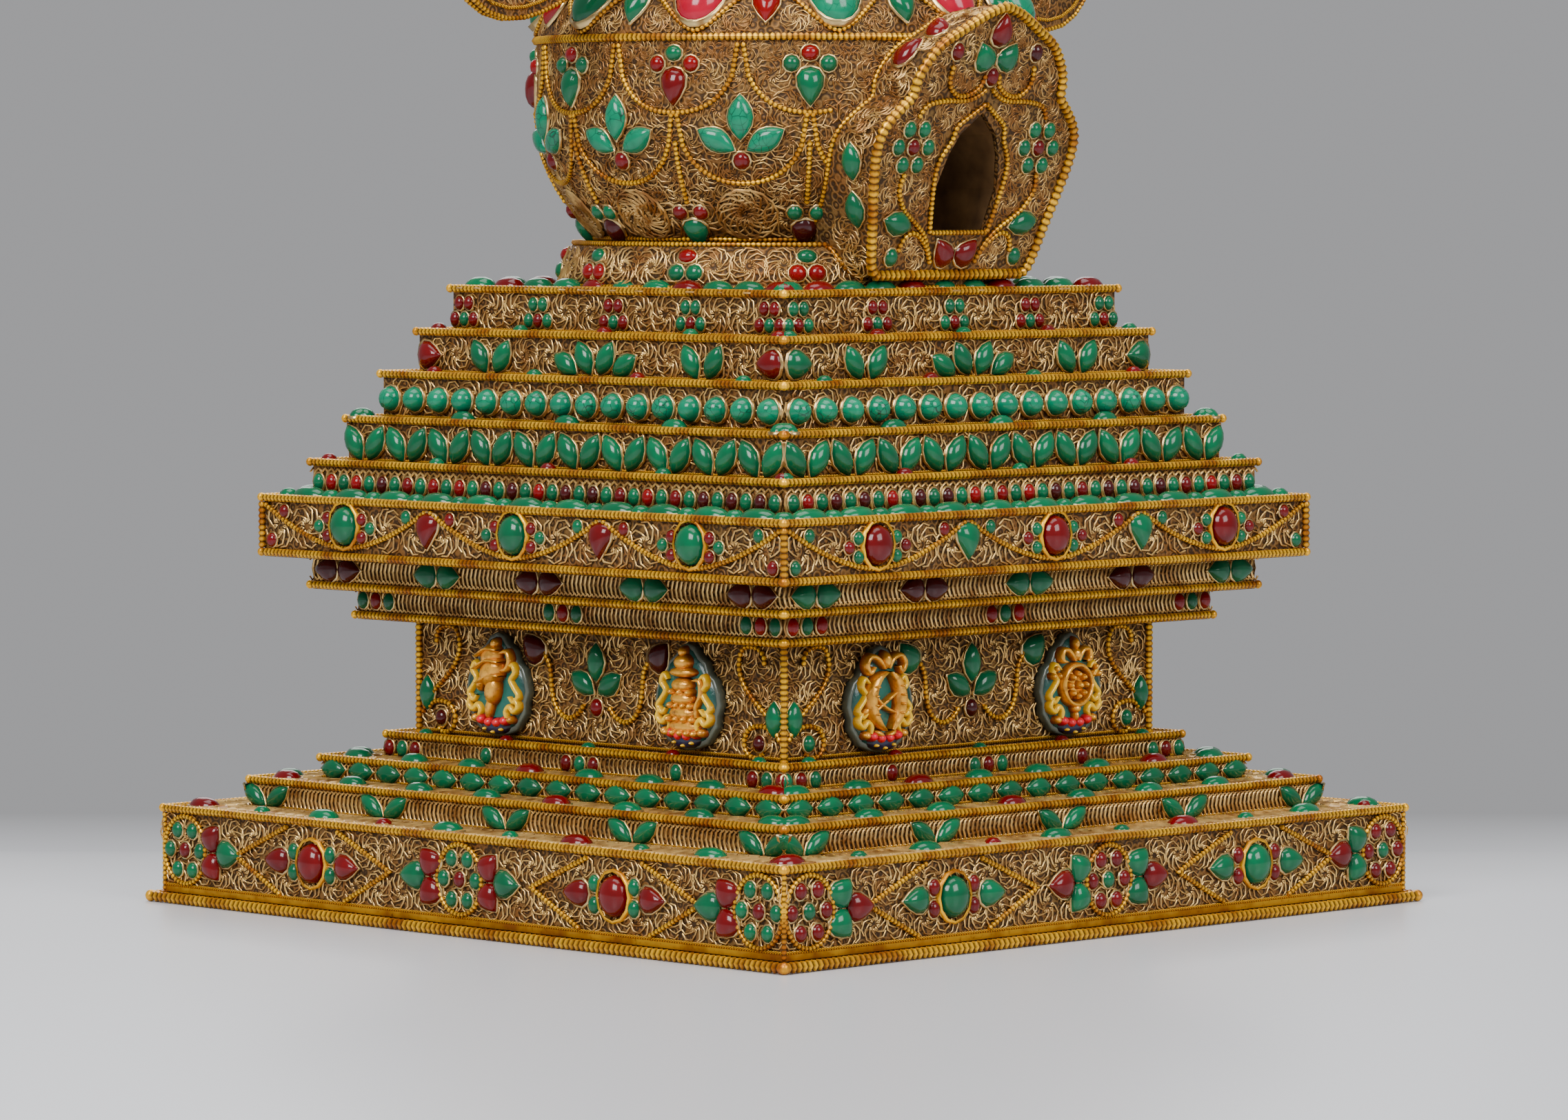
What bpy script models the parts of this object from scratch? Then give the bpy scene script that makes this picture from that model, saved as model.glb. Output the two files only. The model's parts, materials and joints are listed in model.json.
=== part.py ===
"""Filigree stupa set with stones.

Square plinth, three steps, throne with eight painted plaques, two cornices, table slab, five
tiers, dome with a hollow shrine at the front, harmika, ringed spire, parasol, finial and two
streamers. The front is at -Y and the origin is at the centre of the underside.
"""
import math

import bmesh
import bpy
from mathutils import Matrix, Vector

MM = 0.001
GAP = 0.3 * MM                # clearance between neighbouring pieces

# Wires along the edges
EDGE_WIRE = 2.4 * MM          # thickness of the coiled wire along an edge
FOOT_WIRE = 3.2 * MM          # thickness of the wire round the bottom of the plinth
WALL_SETBACK = 1.8 * MM       # from the outside of an edge wire in to the wall
STONE_SINK = 0.6 * MM         # how far a fused stone reaches into what carries it

# Square stages from the bottom up: side over the wires, and height
PLINTH_SIDE = 250 * MM
PLINTH_TOP_SIDE = 245.8 * MM
PLINTH_HEIGHT = 26 * MM
STEP_SIDES = (212.2 * MM, 184.6 * MM, 158.8 * MM)
STEP_HEIGHTS = (7.9 * MM, 6.0 * MM, 6.5 * MM)
THRONE_SIDE = 143.4 * MM
THRONE_HEIGHT = 31.6 * MM
CORNICE_SIDES = (169.2 * MM, 186.6 * MM)
CORNICE_HEIGHTS = (8.3 * MM, 9.0 * MM)
SLAB_SIDE = 207 * MM
SLAB_HEIGHT = 16.3 * MM
TIER_SIDES = (188 * MM, 174.2 * MM, 160.6 * MM, 146.6 * MM, 133.4 * MM)
TIER_HEIGHTS = (9.7 * MM, 11.9 * MM, 12.3 * MM, 11.6 * MM, 11.8 * MM)

# Dome
FOOT_RADIUS = 61 * MM         # round foot, at its bottom
FOOT_TOP_RADIUS = 57 * MM
FOOT_HEIGHT = 13 * MM
FOOT_SWELL = 1.5 * MM
DOME_NECK_RADIUS = 50.5 * MM  # where the dome stands on its foot
DOME_RADIUS = 67.5 * MM
DOME_BOWL_HEIGHT = 34 * MM    # from the foot up to the full radius
DOME_WALL_HEIGHT = 20.5 * MM  # straight part under the band
BAND_WIRE = 2.6 * MM
SHOULDER_HEIGHT = 22 * MM
SHOULDER_TOP_RADIUS = 34 * MM
DOME_SEGMENTS = 24
SCALLOPS = 10
SCALLOP_GAP = math.radians(47)      # stretch at the front that the shrine fills
SCALLOP_WIRE = 1.6 * MM
SCALLOP_DROP = 20 * MM
SCALLOP_POINTS = 4
SHOULDER_STONES = 11
SHOULDER_STONE = (12.4 * MM, 16 * MM, 4.5 * MM)   # width, length, height

# Shrine on the front of the dome
SHRINE_LEAN = math.radians(16.7)    # its face leans forward with the dome
SHRINE_WIDTH = 75.2 * MM            # across the shoulders, the widest place
SHRINE_HEIGHT = 71.2 * MM
SHRINE_LIFT = 4.4 * MM              # from the top tier up to the shrine's floor
SHRINE_INSET = 5.5 * MM             # from the dome's full radius in to the face at its bottom edge
SHRINE_FOOT_REACH = DOME_RADIUS - SHRINE_INSET
DOOR_WIDTH = 24 * MM
DOOR_HEIGHT = 31.5 * MM
DOOR_SILL = 11.6 * MM               # from the shrine's bottom edge up to the door
POCKET_DEPTH = 27.5 * MM            # from the dome's full radius in to the back wall behind the door
POCKET_BACK = DOME_RADIUS - POCKET_DEPTH

# Harmika, spire, parasol and finial
HARMIKA_SIDE = 46 * MM
HARMIKA_CAP_SIDE = 55 * MM
HARMIKA_HEIGHT = 28 * MM
LOTUS_RADIUS = 27 * MM
LOTUS_HEIGHT = 8 * MM
SPIRE_RINGS = 13
SPIRE_RADIUS = 22 * MM
SPIRE_TOP_RADIUS = 8.5 * MM
SPIRE_HEIGHT = 94 * MM
PARASOL_RADIUS = 30 * MM
PARASOL_HEIGHT = 15 * MM
CRESCENT_RADIUS = 17 * MM
SUN_RADIUS = 8.5 * MM
JEWEL_HEIGHT = 19 * MM
JEWEL_RADIUS = 5.5 * MM
PLATE = 3.2 * MM                    # thickness of crescent and streamers

# Streamers, flat panels across the middle
STREAMER_REACH = 119 * MM           # from the axis to the outer tip
STREAMER_WIDTH = 28 * MM
STREAMER_CLEAR = 4.5 * MM           # lowest edge above the dome's band

# Plaques on the throne
PLAQUE_WIDTH = 24 * MM
PLAQUE_HEIGHT = 28.4 * MM
PLAQUE_PLATE = 1.8 * MM
PLAQUE_RELIEF = 2.4 * MM
PLAQUE_SPACING = 74 * MM            # between the two on one face

# Stones: length, width, height
MEDALLION = (9.4 * MM, 8.0 * MM, 3.0 * MM)
OVAL = (9.0 * MM, 7.6 * MM, 3.0 * MM)
DROP = (7.6 * MM, 5.6 * MM, 2.4 * MM)
LEAF = (8.0 * MM, 4.2 * MM, 2.4 * MM)
LONG_LEAF = (11.2 * MM, 5.2 * MM, 2.2 * MM)
BALL = 7.2 * MM
SMALL = 3.0 * MM
SLAB_SWAGS = 3                      # on each face of the slab
TIER_BALLS = 16                     # on each face of the third tier
TIER_CLUSTERS = 5                   # on each face of the fifth tier

def clear_scene():
    """Remove every object and every collection of the open file."""
    for old in list(bpy.data.objects):
        bpy.data.objects.remove(old, do_unlink=True)
    for old in list(bpy.data.collections):
        bpy.data.collections.remove(old)


def linear(hex_colour):
    """Linear RGBA of an sRGB hex colour."""
    channels = [int(hex_colour[i:i + 2], 16) / 255 for i in (0, 2, 4)]
    return [c / 12.92 if c <= 0.04045 else ((c + 0.055) / 1.055) ** 2.4 for c in channels] + [1.0]


FINISHES = {
    "filigree": ("A88A55", 0.45, 0.9),
    "gilt_wire": ("D9A32B", 0.35, 1.0),
    "jade": ("1F7F5B", 0.18, 0.0),
    "turquoise": ("1B9C82", 0.25, 0.0),
    "coral": ("8E2436", 0.18, 0.0),
    "painted": ("0E5A4A", 0.3, 0.0),
}


def finish_material(node, finish):
    """A Principled material of its own for one node."""
    colour, roughness, metallic = FINISHES[finish]
    made = bpy.data.materials.new(node + "_" + finish)
    made.use_nodes = True
    shader = made.node_tree.nodes["Principled BSDF"]
    shader.inputs["Base Color"].default_value = linear(colour)
    shader.inputs["Roughness"].default_value = roughness
    shader.inputs["Metallic"].default_value = metallic
    return made


def collection(name):
    made = bpy.data.collections.new(name)
    bpy.context.scene.collection.children.link(made)
    return made


def add_object(name, data, finish):
    """A sub-part of the stupa."""
    made = bpy.data.objects.new(name, data)
    PARTS.objects.link(made)
    data.materials.append(finish_material(name, finish))
    return made


def add_cutter(name, data):
    """A helper shape that the build leaves out."""
    made = bpy.data.objects.new(name, data)
    CUTTERS.objects.link(made)
    made.hide_render = True
    made.display_type = "WIRE"
    return made


def boolean(target, cutter, operation):
    step = target.modifiers.new(operation.lower() + "_" + cutter.name, "BOOLEAN")
    step.operation = operation
    step.solver = "EXACT"
    step.use_self = operation == "UNION"
    step.object = cutter


def mesh_from(bm, name):
    bmesh.ops.recalc_face_normals(bm, faces=bm.faces)
    data = bpy.data.meshes.new(name)
    bm.to_mesh(data)
    bm.free()
    return data


def turned(points, name):
    """Mesh line of (radius, z) points from top to bottom, for a Screw modifier."""
    bm = bmesh.new()
    line = [bm.verts.new((radius, 0, z)) for radius, z in points]
    for upper, lower in zip(line, line[1:]):
        bm.edges.new((upper, lower))
    data = bpy.data.meshes.new(name)
    bm.to_mesh(data)
    bm.free()
    return data


def add_screw(target, steps):
    screw = target.modifiers.new("turn", "SCREW")
    screw.steps = steps
    screw.render_steps = steps
    screw.use_merge_vertices = True
    screw.merge_threshold = 0.01 * MM
    screw.use_smooth_shade = steps > 4


def add_turned(name, points, finish, steps=DOME_SEGMENTS):
    made = add_object(name, turned(points, name), finish)
    add_screw(made, steps)
    return made


def add_square(name, points, finish):
    """Four-sided turned piece: the profile's radius is half the side."""
    wide = [(half * math.sqrt(2), z) for half, z in points]
    made = add_turned(name, wide, finish, 4)
    made.rotation_euler[2] = math.radians(45)
    return made


def bead(centre, z, radius, start, stop, count):
    """Points round a wire's section, from one angle to another in degrees."""
    angles = [math.radians(start + (stop - start) * i / (count - 1)) for i in range(count)]
    return [(centre + radius * math.cos(a), z + radius * math.sin(a)) for a in angles]


def stage_profile(side, z0, z1, top_wire=True, bottom_wire=0.0, bottom_side=None):
    """Half profile of a square stage with wires along its edges, from top to bottom."""
    radius = EDGE_WIRE / 2
    wall = side / 2 - WALL_SETBACK
    points = [(0, z1)]
    if top_wire:
        centre = side / 2 - radius
        ring = bead(centre, z1, radius, 150, -90, 4)
        points += [(ring[0][0], z1)] + ring + [(wall, z1 - radius)]
    else:
        points.append((wall, z1))
    if bottom_wire:
        radius = bottom_wire / 2
        centre = (bottom_side or side) / 2 - radius
        points.append((wall, z0 + bottom_wire))
        points += bead(centre, z0 + radius, radius, 90, -90, 3)
    else:
        points.append((wall, z0))
    return points + [(0, z0)]


def stone_shape(bm, kind, length, width, height, place, sides):
    """One stone: a few-sided frustum, pinched to its outline and set at a place.

    Its length runs along the place's x, and a drop points to +x. Five sides or fewer
    come to a point.
    """
    depth = height + STONE_SINK
    crown = 0.5 if sides > 5 else 0
    made = bmesh.ops.create_cone(bm, cap_ends=True, segments=sides, radius1=1, radius2=crown,
                                 depth=depth, matrix=Matrix.Translation((0, 0, depth / 2 - STONE_SINK)))
    for vert in made["verts"]:
        along, across = vert.co.x, vert.co.y
        if kind == "leaf":
            across *= 1 - 0.25 * abs(along)
        if kind == "drop":
            across *= 1 - 0.45 * along
        vert.co.x = along * length / 2
        vert.co.y = across * width / 2
        vert.co = place @ vert.co


def face_place(face, distance, u, z, turn=0.0):
    """Place on one of the four walls: u runs to the right, z up, and +z of the place outwards.

    The stone's length lies along u at turn 0 and points up at turn 90 degrees.
    """
    local = Matrix(((1, 0, 0, u), (0, 0, -1, -distance), (0, 1, 0, z), (0, 0, 0, 1)))
    return Matrix.Rotation(face * math.pi / 2, 4, "Z") @ local @ Matrix.Rotation(math.radians(turn), 4, "Z")


def row(length, pitch):
    """Even places along a wall, about a pitch apart and centred."""
    count = max(1, int(length / pitch))
    step = length / count
    return [(i - (count - 1) / 2) * step for i in range(count)]


def spread(reach, count):
    """Even places from one end of a reach to the other, both ends taken."""
    return [reach * (2 * i / (count - 1) - 1) for i in range(count)]


def union_stones(target, bm):
    stones = add_cutter(target.name + "_stones", mesh_from(bm, target.name + "_stones"))
    boolean(target, stones, "UNION")


def wall_wire(bm, face, distance, route, thickness):
    """Wire laid on a wall through (u, z) places, sunk a little under half its thickness."""
    points = [face_place(face, distance + thickness * 0.1, u, z).to_translation() for u, z in route]
    bm.from_mesh(wire_mesh("wall_wire", points, thickness))


def leaf_pair(bm, face, distance, u, z, leaf, spread, lean):
    """Two leaves in a V that opens upwards, each leaning by so many degrees from upright."""
    for side in (-1, 1):
        place = face_place(face, distance, u + side * spread / 2, z, 90 - lean * side)
        stone_shape(bm, "leaf", *leaf, place, 4)


def build_plinth(z0):
    z1 = z0 + PLINTH_HEIGHT
    profile = stage_profile(PLINTH_TOP_SIDE, z0, z1, True, FOOT_WIRE, PLINTH_SIDE)
    plinth = add_square("plinth", profile, "filigree")
    wall = PLINTH_TOP_SIDE / 2 - WALL_SETBACK
    middle = (z0 + FOOT_WIRE + z1 - EDGE_WIRE / 2) / 2
    reach = (z1 - z0 - FOOT_WIRE - EDGE_WIRE) / 2 - GAP
    bay = wall / 2
    rosette = reach * 0.95
    bm = bmesh.new()
    for face in range(4):
        for centre in (-wall + rosette, 0, wall - rosette):
            place = face_place(face, wall, centre, middle, 90)
            stone_shape(bm, "oval", 2 * rosette, 2 * rosette, SMALL * 0.7, place, 6)
        for side in (-1, 1):
            centre = side * bay * 0.95
            half = bay * 0.5
            for end in (-1, 1):
                corners = [(centre + end * half * 0.4, middle + edge * reach * 0.93) for edge in (-1, 1)]
                chevron = [corners[0], (centre + end * half, middle), corners[1]]
                wall_wire(bm, face, wall, chevron, SCALLOP_WIRE)
            stone_shape(bm, "oval", *OVAL, face_place(face, wall, centre, middle), 6)
    union_stones(plinth, bm)
    return z1


def build_steps(z0):
    for index, (side, height) in enumerate(zip(STEP_SIDES, STEP_HEIGHTS)):
        z1 = z0 + height
        step = add_square("step_%d" % (index + 1), stage_profile(side, z0 + GAP, z1), "filigree")
        wall = side / 2 - WALL_SETBACK
        middle = (z0 + z1 - EDGE_WIRE / 2) / 2
        leaf_width = (height - EDGE_WIRE) * 0.7
        bm = bmesh.new()
        for face in range(4):
            if index == 0:
                for u in row(2 * wall, wall * 0.4):
                    leaf = (LEAF[0], leaf_width * 0.7, SMALL * 0.6)
                    leaf_pair(bm, face, wall, u, middle, leaf, leaf[0], 62)
            elif index == 1:
                for u in row(2 * wall, LEAF[0] * 3.5):
                    stone_shape(bm, "leaf", LEAF[0], leaf_width, LEAF[2] * 0.7,
                                face_place(face, wall, u, middle), 4)
            else:
                for u in row(2 * wall - LEAF[0], wall * 0.6):
                    stone_shape(bm, "oval", LEAF[0], leaf_width, LEAF[2] * 0.7,
                                face_place(face, wall, u, middle), 4)
        union_stones(step, bm)
        z0 = z1
    return z0


def build_throne(z0):
    z1 = z0 + THRONE_HEIGHT
    wall = THRONE_SIDE / 2 - EDGE_WIRE / 2
    points = [(0, z1), (wall, z1), (wall, z0 + GAP), (0, z0 + GAP)]
    throne = add_square("throne", points, "filigree")
    middle = (z0 + z1) / 2
    leaf = (LEAF[0] * 1.15, LEAF[1], LEAF[2])
    bm = bmesh.new()
    for face in range(4):
        for turn, side in ((90, 0), (150, -1), (30, 1)):
            z = middle + leaf[0] * (0.45 - 0.4 * abs(side))
            stone_shape(bm, "leaf", *leaf, face_place(face, wall, side * leaf[0] * 0.62, z, turn), 4)
        corner = Matrix.Rotation(face * math.pi / 2, 4, "Z") @ Matrix.Translation((wall, -wall, middle))
        bmesh.ops.create_cone(bm, cap_ends=True, segments=6, radius1=EDGE_WIRE / 2, radius2=EDGE_WIRE / 2,
                              depth=THRONE_HEIGHT - 4 * GAP, matrix=corner)
    union_stones(throne, bm)
    build_plaques(wall, middle)
    return z1


def curve_solid(data, points, cyclic):
    """Mesh of a curve through points, with its caps welded."""
    spline = data.splines.new("POLY")
    spline.points.add(len(points) - 1)
    for point, place in zip(spline.points, points):
        point.co = (*place, 1)
    spline.use_cyclic_u = cyclic
    curve = bpy.data.objects.new(data.name, data)
    bpy.context.scene.collection.objects.link(curve)
    bpy.context.view_layer.update()
    solid = bpy.data.meshes.new_from_object(curve.evaluated_get(bpy.context.evaluated_depsgraph_get()))
    bpy.data.objects.remove(curve)
    bm = bmesh.new()
    bm.from_mesh(solid)
    bmesh.ops.remove_doubles(bm, verts=bm.verts, dist=0.005 * MM)
    bmesh.ops.recalc_face_normals(bm, faces=bm.faces)
    bm.to_mesh(solid)
    bm.free()
    solid.materials.clear()
    return solid


def outline_mesh(name, points, half_depth):
    """Flat outline filled and extruded both ways, as a mesh."""
    data = bpy.data.curves.new(name, "CURVE")
    data.dimensions = "2D"
    data.fill_mode = "BOTH"
    data.extrude = half_depth
    return curve_solid(data, [(x, y, 0) for x, y in points], True)


def wire_mesh(name, points, thickness):
    """Few-sided wire through points, with closed ends."""
    data = bpy.data.curves.new(name, "CURVE")
    data.dimensions = "3D"
    data.bevel_depth = thickness / 2
    data.bevel_resolution = 0
    data.use_fill_caps = True
    return curve_solid(data, points, False)


def lobed_outline(width, height, lobes, depth, count):
    """Oval outline with shallow lobes, slightly pointed at the top."""
    points = []
    for i in range(count):
        angle = 2 * math.pi * i / count
        swell = 1 + depth * math.cos(lobes * (angle - math.pi / 2))
        points.append((width / 2 * swell * math.cos(angle), height / 2 * swell * math.sin(angle)))
    return points


def add_symbol(bm, symbol, width, base):
    """Few-sided relief of one auspicious symbol, standing on a plaque's plate."""
    raised = PLAQUE_RELIEF + STONE_SINK

    def boss(kind, x, y, length, across, turn, share=1.0, sides=5):
        place = Matrix.Translation((x * width, y * width, base)) @ Matrix.Rotation(math.radians(turn), 4, "Z")
        stone_shape(bm, kind, length * width, across * width, raised * share, place, sides)

    boss("oval", 0, -0.44, 0.62, 0.26, 0, 0.75, 5)
    if symbol == "conch":
        boss("drop", 0.02, 0.12, 0.86, 0.42, -80)
    elif symbol == "banner":
        for level in range(3):
            boss("oval", 0, -0.12 + 0.2 * level, 0.46 - 0.1 * level, 0.2, 0)
        boss("drop", 0, 0.5, 0.24, 0.14, 90)
    elif symbol == "fish":
        for side in (-1, 1):
            boss("leaf", 0.11 * side, 0.12, 0.8, 0.2, 90 + 16 * side)
    elif symbol == "wheel":
        boss("oval", 0, 0.16, 0.5, 0.5, 0, 1.0, 8)
    elif symbol == "lotus":
        for turn in (35, 90, 145):
            angle = math.radians(turn)
            boss("leaf", 0.2 * math.cos(angle), 0.2 * math.sin(angle), 0.46, 0.2, turn)
    elif symbol == "vase":
        boss("oval", 0, 0.0, 0.42, 0.38, 0)
        boss("drop", 0, 0.34, 0.34, 0.2, 90)
    elif symbol == "parasol":
        boss("drop", 0, 0.26, 0.3, 0.6, 90)
        boss("oval", 0, -0.04, 0.46, 0.08, 90, 1.0, 4)
    else:
        for turn in (45, 135):
            boss("oval", 0, 0.12, 0.56, 0.28, turn, 1.0, 4)


def build_plaques(wall, middle):
    """Two painted plaques on each wall of the throne, one for each symbol."""
    symbols = ((("fish", -1), ("wheel", 1)), (("lotus", -1), ("vase", 1)),
               (("parasol", -1), ("knot", 1)), (("conch", -1), ("banner", 1)))
    for face, pair in enumerate(symbols):
        for symbol, side in pair:
            name = "plaque_" + symbol
            outline = lobed_outline(PLAQUE_WIDTH, PLAQUE_HEIGHT, 5, 0.06, 10)
            plate = outline_mesh(name, outline, PLAQUE_PLATE / 2)
            made = add_object(name, plate, "painted")
            made.matrix_world = face_place(face, wall + GAP + PLAQUE_PLATE / 2,
                                           side * PLAQUE_SPACING / 2, middle - 0.4 * MM)
            bm = bmesh.new()
            add_symbol(bm, symbol, PLAQUE_WIDTH, PLAQUE_PLATE / 2)
            relief = add_cutter(name + "_relief", mesh_from(bm, name + "_relief"))
            relief.matrix_world = made.matrix_world
            boolean(made, relief, "UNION")


def build_cornices(z0):
    for index, (side, height) in enumerate(zip(CORNICE_SIDES, CORNICE_HEIGHTS)):
        z1 = z0 + height
        name = ("cornice_lower", "cornice_upper")[index]
        cornice = add_square(name, stage_profile(side, z0 + GAP, z1, False, EDGE_WIRE), "filigree")
        wall = side / 2 - WALL_SETBACK
        middle = (z0 + EDGE_WIRE + z1) / 2
        bm = bmesh.new()
        for face in range(4):
            if index:
                for u in row(2 * wall - DROP[0], wall * 0.6):
                    for end in (-1, 1):
                        place = face_place(face, wall, u + end * DROP[0] * 0.5, middle, 90 - 90 * end)
                        stone_shape(bm, "drop", DROP[0] * 0.9, height - 2 * EDGE_WIRE + GAP, DROP[2] * 0.7,
                                    place, 4)
            else:
                for u in (-wall + SMALL * 3, 0, wall - SMALL * 3):
                    place = face_place(face, wall, u, middle)
                    stone_shape(bm, "oval", SMALL * 3.6, height - 2 * EDGE_WIRE, LEAF[2] * 0.6, place, 4)
        union_stones(cornice, bm)
        z0 = z1
    return z0


def build_slab(z0):
    z1 = z0 + SLAB_HEIGHT
    slab = add_square("table_slab", stage_profile(SLAB_SIDE, z0 + GAP, z1, True, EDGE_WIRE), "filigree")
    wall = SLAB_SIDE / 2 - WALL_SETBACK
    bay = 2 * wall / SLAB_SWAGS
    swag_top = z1 - EDGE_WIRE * 1.3
    swag_low = z0 + EDGE_WIRE + SCALLOP_WIRE / 2 + GAP
    middle = swag_low + SCALLOP_WIRE / 2 + GAP + MEDALLION[0] / 2
    bm = bmesh.new()
    for face in range(4):
        for index in range(SLAB_SWAGS):
            centre = (index - (SLAB_SWAGS - 1) / 2) * bay
            swag = [(-0.47, 1.0), (-0.22, 0), (0.22, 0), (0.47, 1.0)]
            route = [(centre + bay * u, swag_low + (swag_top - swag_low) * up) for u, up in swag]
            wall_wire(bm, face, wall, route, SCALLOP_WIRE)
            if index:
                place = face_place(face, wall, centre - bay / 2, middle, -90)
                stone_shape(bm, "drop", *DROP, place, 4)
            place = face_place(face, wall, centre, middle, 90)
            name = "slab_stone_%d_%d" % (face + 1, index + 1)
            solo = bmesh.new()
            stone_shape(solo, "oval", *MEDALLION, place @ Matrix.Translation((0, 0, STONE_SINK + GAP)), 6)
            add_object(name, mesh_from(solo, name), "jade" if face % 2 else "coral")
    union_stones(slab, bm)
    return z1


def tier_stones(bm, index, face, wall, z0, z1):
    """The row of stones that each tier carries on its walls."""
    middle = (z0 + z1 - EDGE_WIRE / 2) / 2
    room = z1 - z0 - EDGE_WIRE
    if index == 0:
        size = Matrix.Diagonal((2 * wall - LEAF[0], SMALL, SMALL * 0.5, 1))
        bmesh.ops.create_cube(bm, size=1, matrix=face_place(face, wall, 0, middle) @ size)
    elif index == 1:
        for u in row(2 * wall, LONG_LEAF[0] * 1.8):
            leaf = (min(LONG_LEAF[0], room * 1.2), LONG_LEAF[1], LONG_LEAF[2])
            leaf_pair(bm, face, wall, u, middle, leaf, leaf[0] * 0.9, 45)
    elif index == 2:
        for u in spread(wall - BALL * 0.6, TIER_BALLS):
            stone_shape(bm, "oval", BALL, BALL, BALL * 0.42, face_place(face, wall, u, middle), 4)
    elif index == 3:
        for end in (-1, 1):
            place = face_place(face, wall, end * (wall - DROP[0] * 0.7), middle, 90 + 90 * end)
            stone_shape(bm, "drop", DROP[0], DROP[1] * 1.1, DROP[2], place, 4)
            leaf = (room * 0.86, LEAF[1], LEAF[2] * 0.8)
            leaf_pair(bm, face, wall, end * wall * 0.57, middle, leaf, leaf[0], 32)
            for u, turn in ((0.4, 20), (1.2, 50)):
                place = face_place(face, wall, end * u * leaf[0], middle, 90 - turn * end)
                stone_shape(bm, "leaf", *leaf, place, 4)
    else:
        for u in spread(wall - room * 0.5, TIER_CLUSTERS):
            place = face_place(face, wall, u, middle, 90)
            stone_shape(bm, "drop", room * 0.8, room * 0.85, SMALL * 0.6, place, 4)


def build_tiers(z0):
    for index, (side, height) in enumerate(zip(TIER_SIDES, TIER_HEIGHTS)):
        z1 = z0 + height
        tier = add_square("tier_%d" % (index + 1), stage_profile(side, z0 + GAP, z1), "filigree")
        wall = side / 2 - WALL_SETBACK
        bm = bmesh.new()
        for face in range(4):
            tier_stones(bm, index, face, wall, z0 + GAP, z1)
        union_stones(tier, bm)
        z0 = z1
    return z0


def foot_profile(z0, grow=0.0):
    """Rounded foot of the dome, from top to bottom."""
    points = []
    for i in range(3):
        share = i / 2
        swell = math.sin(math.pi * share) * FOOT_SWELL
        radius = FOOT_TOP_RADIUS + (FOOT_RADIUS - FOOT_TOP_RADIUS) * share + swell
        points.append((radius + grow, z0 + FOOT_HEIGHT * (1 - share)))
    return points


def dome_radius(rise):
    """Radius of the dome at a height above its foot, below the band."""
    short = max(0.0, (DOME_BOWL_HEIGHT - rise) / DOME_BOWL_HEIGHT)
    return DOME_RADIUS - (DOME_RADIUS - DOME_NECK_RADIUS) * short ** 2


def dome_profile(z0, grow=0.0):
    """Dome from the flat top down over the shoulder, the band and the bowl."""
    band = z0 + DOME_BOWL_HEIGHT + DOME_WALL_HEIGHT
    points = []
    for i in range(4):
        angle = math.pi / 2 * (1 - i / 3)
        radius = SHOULDER_TOP_RADIUS + (DOME_RADIUS - SHOULDER_TOP_RADIUS) * math.cos(angle)
        points.append((radius + grow * math.cos(angle), band + (SHOULDER_HEIGHT + grow) * math.sin(angle)))
    points.pop()
    ring = bead(DOME_RADIUS + grow, band, BAND_WIRE / 2, 70, -70, 3)
    points += ring
    for i in range(5):
        rise = (DOME_BOWL_HEIGHT + DOME_WALL_HEIGHT - BAND_WIRE) * (1 - (i / 4) ** 0.8)
        points.append((dome_radius(rise) + grow, z0 + rise))
    return points


def shoulder_place(angle, share, z_band):
    """Place on the dome's shoulder: x of the place runs up the slope, +z outwards."""
    rise = math.pi / 2 * share
    radius = SHOULDER_TOP_RADIUS + (DOME_RADIUS - SHOULDER_TOP_RADIUS) * math.cos(rise)
    height = z_band + SHOULDER_HEIGHT * math.sin(rise)
    up = Vector((-(DOME_RADIUS - SHOULDER_TOP_RADIUS) * math.sin(rise), 0, SHOULDER_HEIGHT * math.cos(rise)))
    up.normalize()
    across = Vector((0, 1, 0))
    out = up.cross(across)
    if out.x < 0:
        out.negate()
        across.negate()
    local = Matrix((up, across, out)).transposed().to_4x4()
    local.translation = (radius, 0, height)
    return Matrix.Rotation(angle, 4, "Z") @ local


def wall_place(angle, z0, rise, turn):
    """Place on the dome's wall below the band: x of the place points up at turn 90 degrees."""
    slope = (dome_radius(rise + MM) - dome_radius(rise - MM)) / (2 * MM)
    up = Vector((slope, 0, 1)).normalized()
    across = Vector((0, 1, 0))
    out = across.cross(up)
    local = Matrix((across, up, out)).transposed().to_4x4()
    local.translation = (dome_radius(rise), 0, z0 + rise)
    return Matrix.Rotation(angle, 4, "Z") @ local @ Matrix.Rotation(math.radians(turn), 4, "Z")


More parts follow.
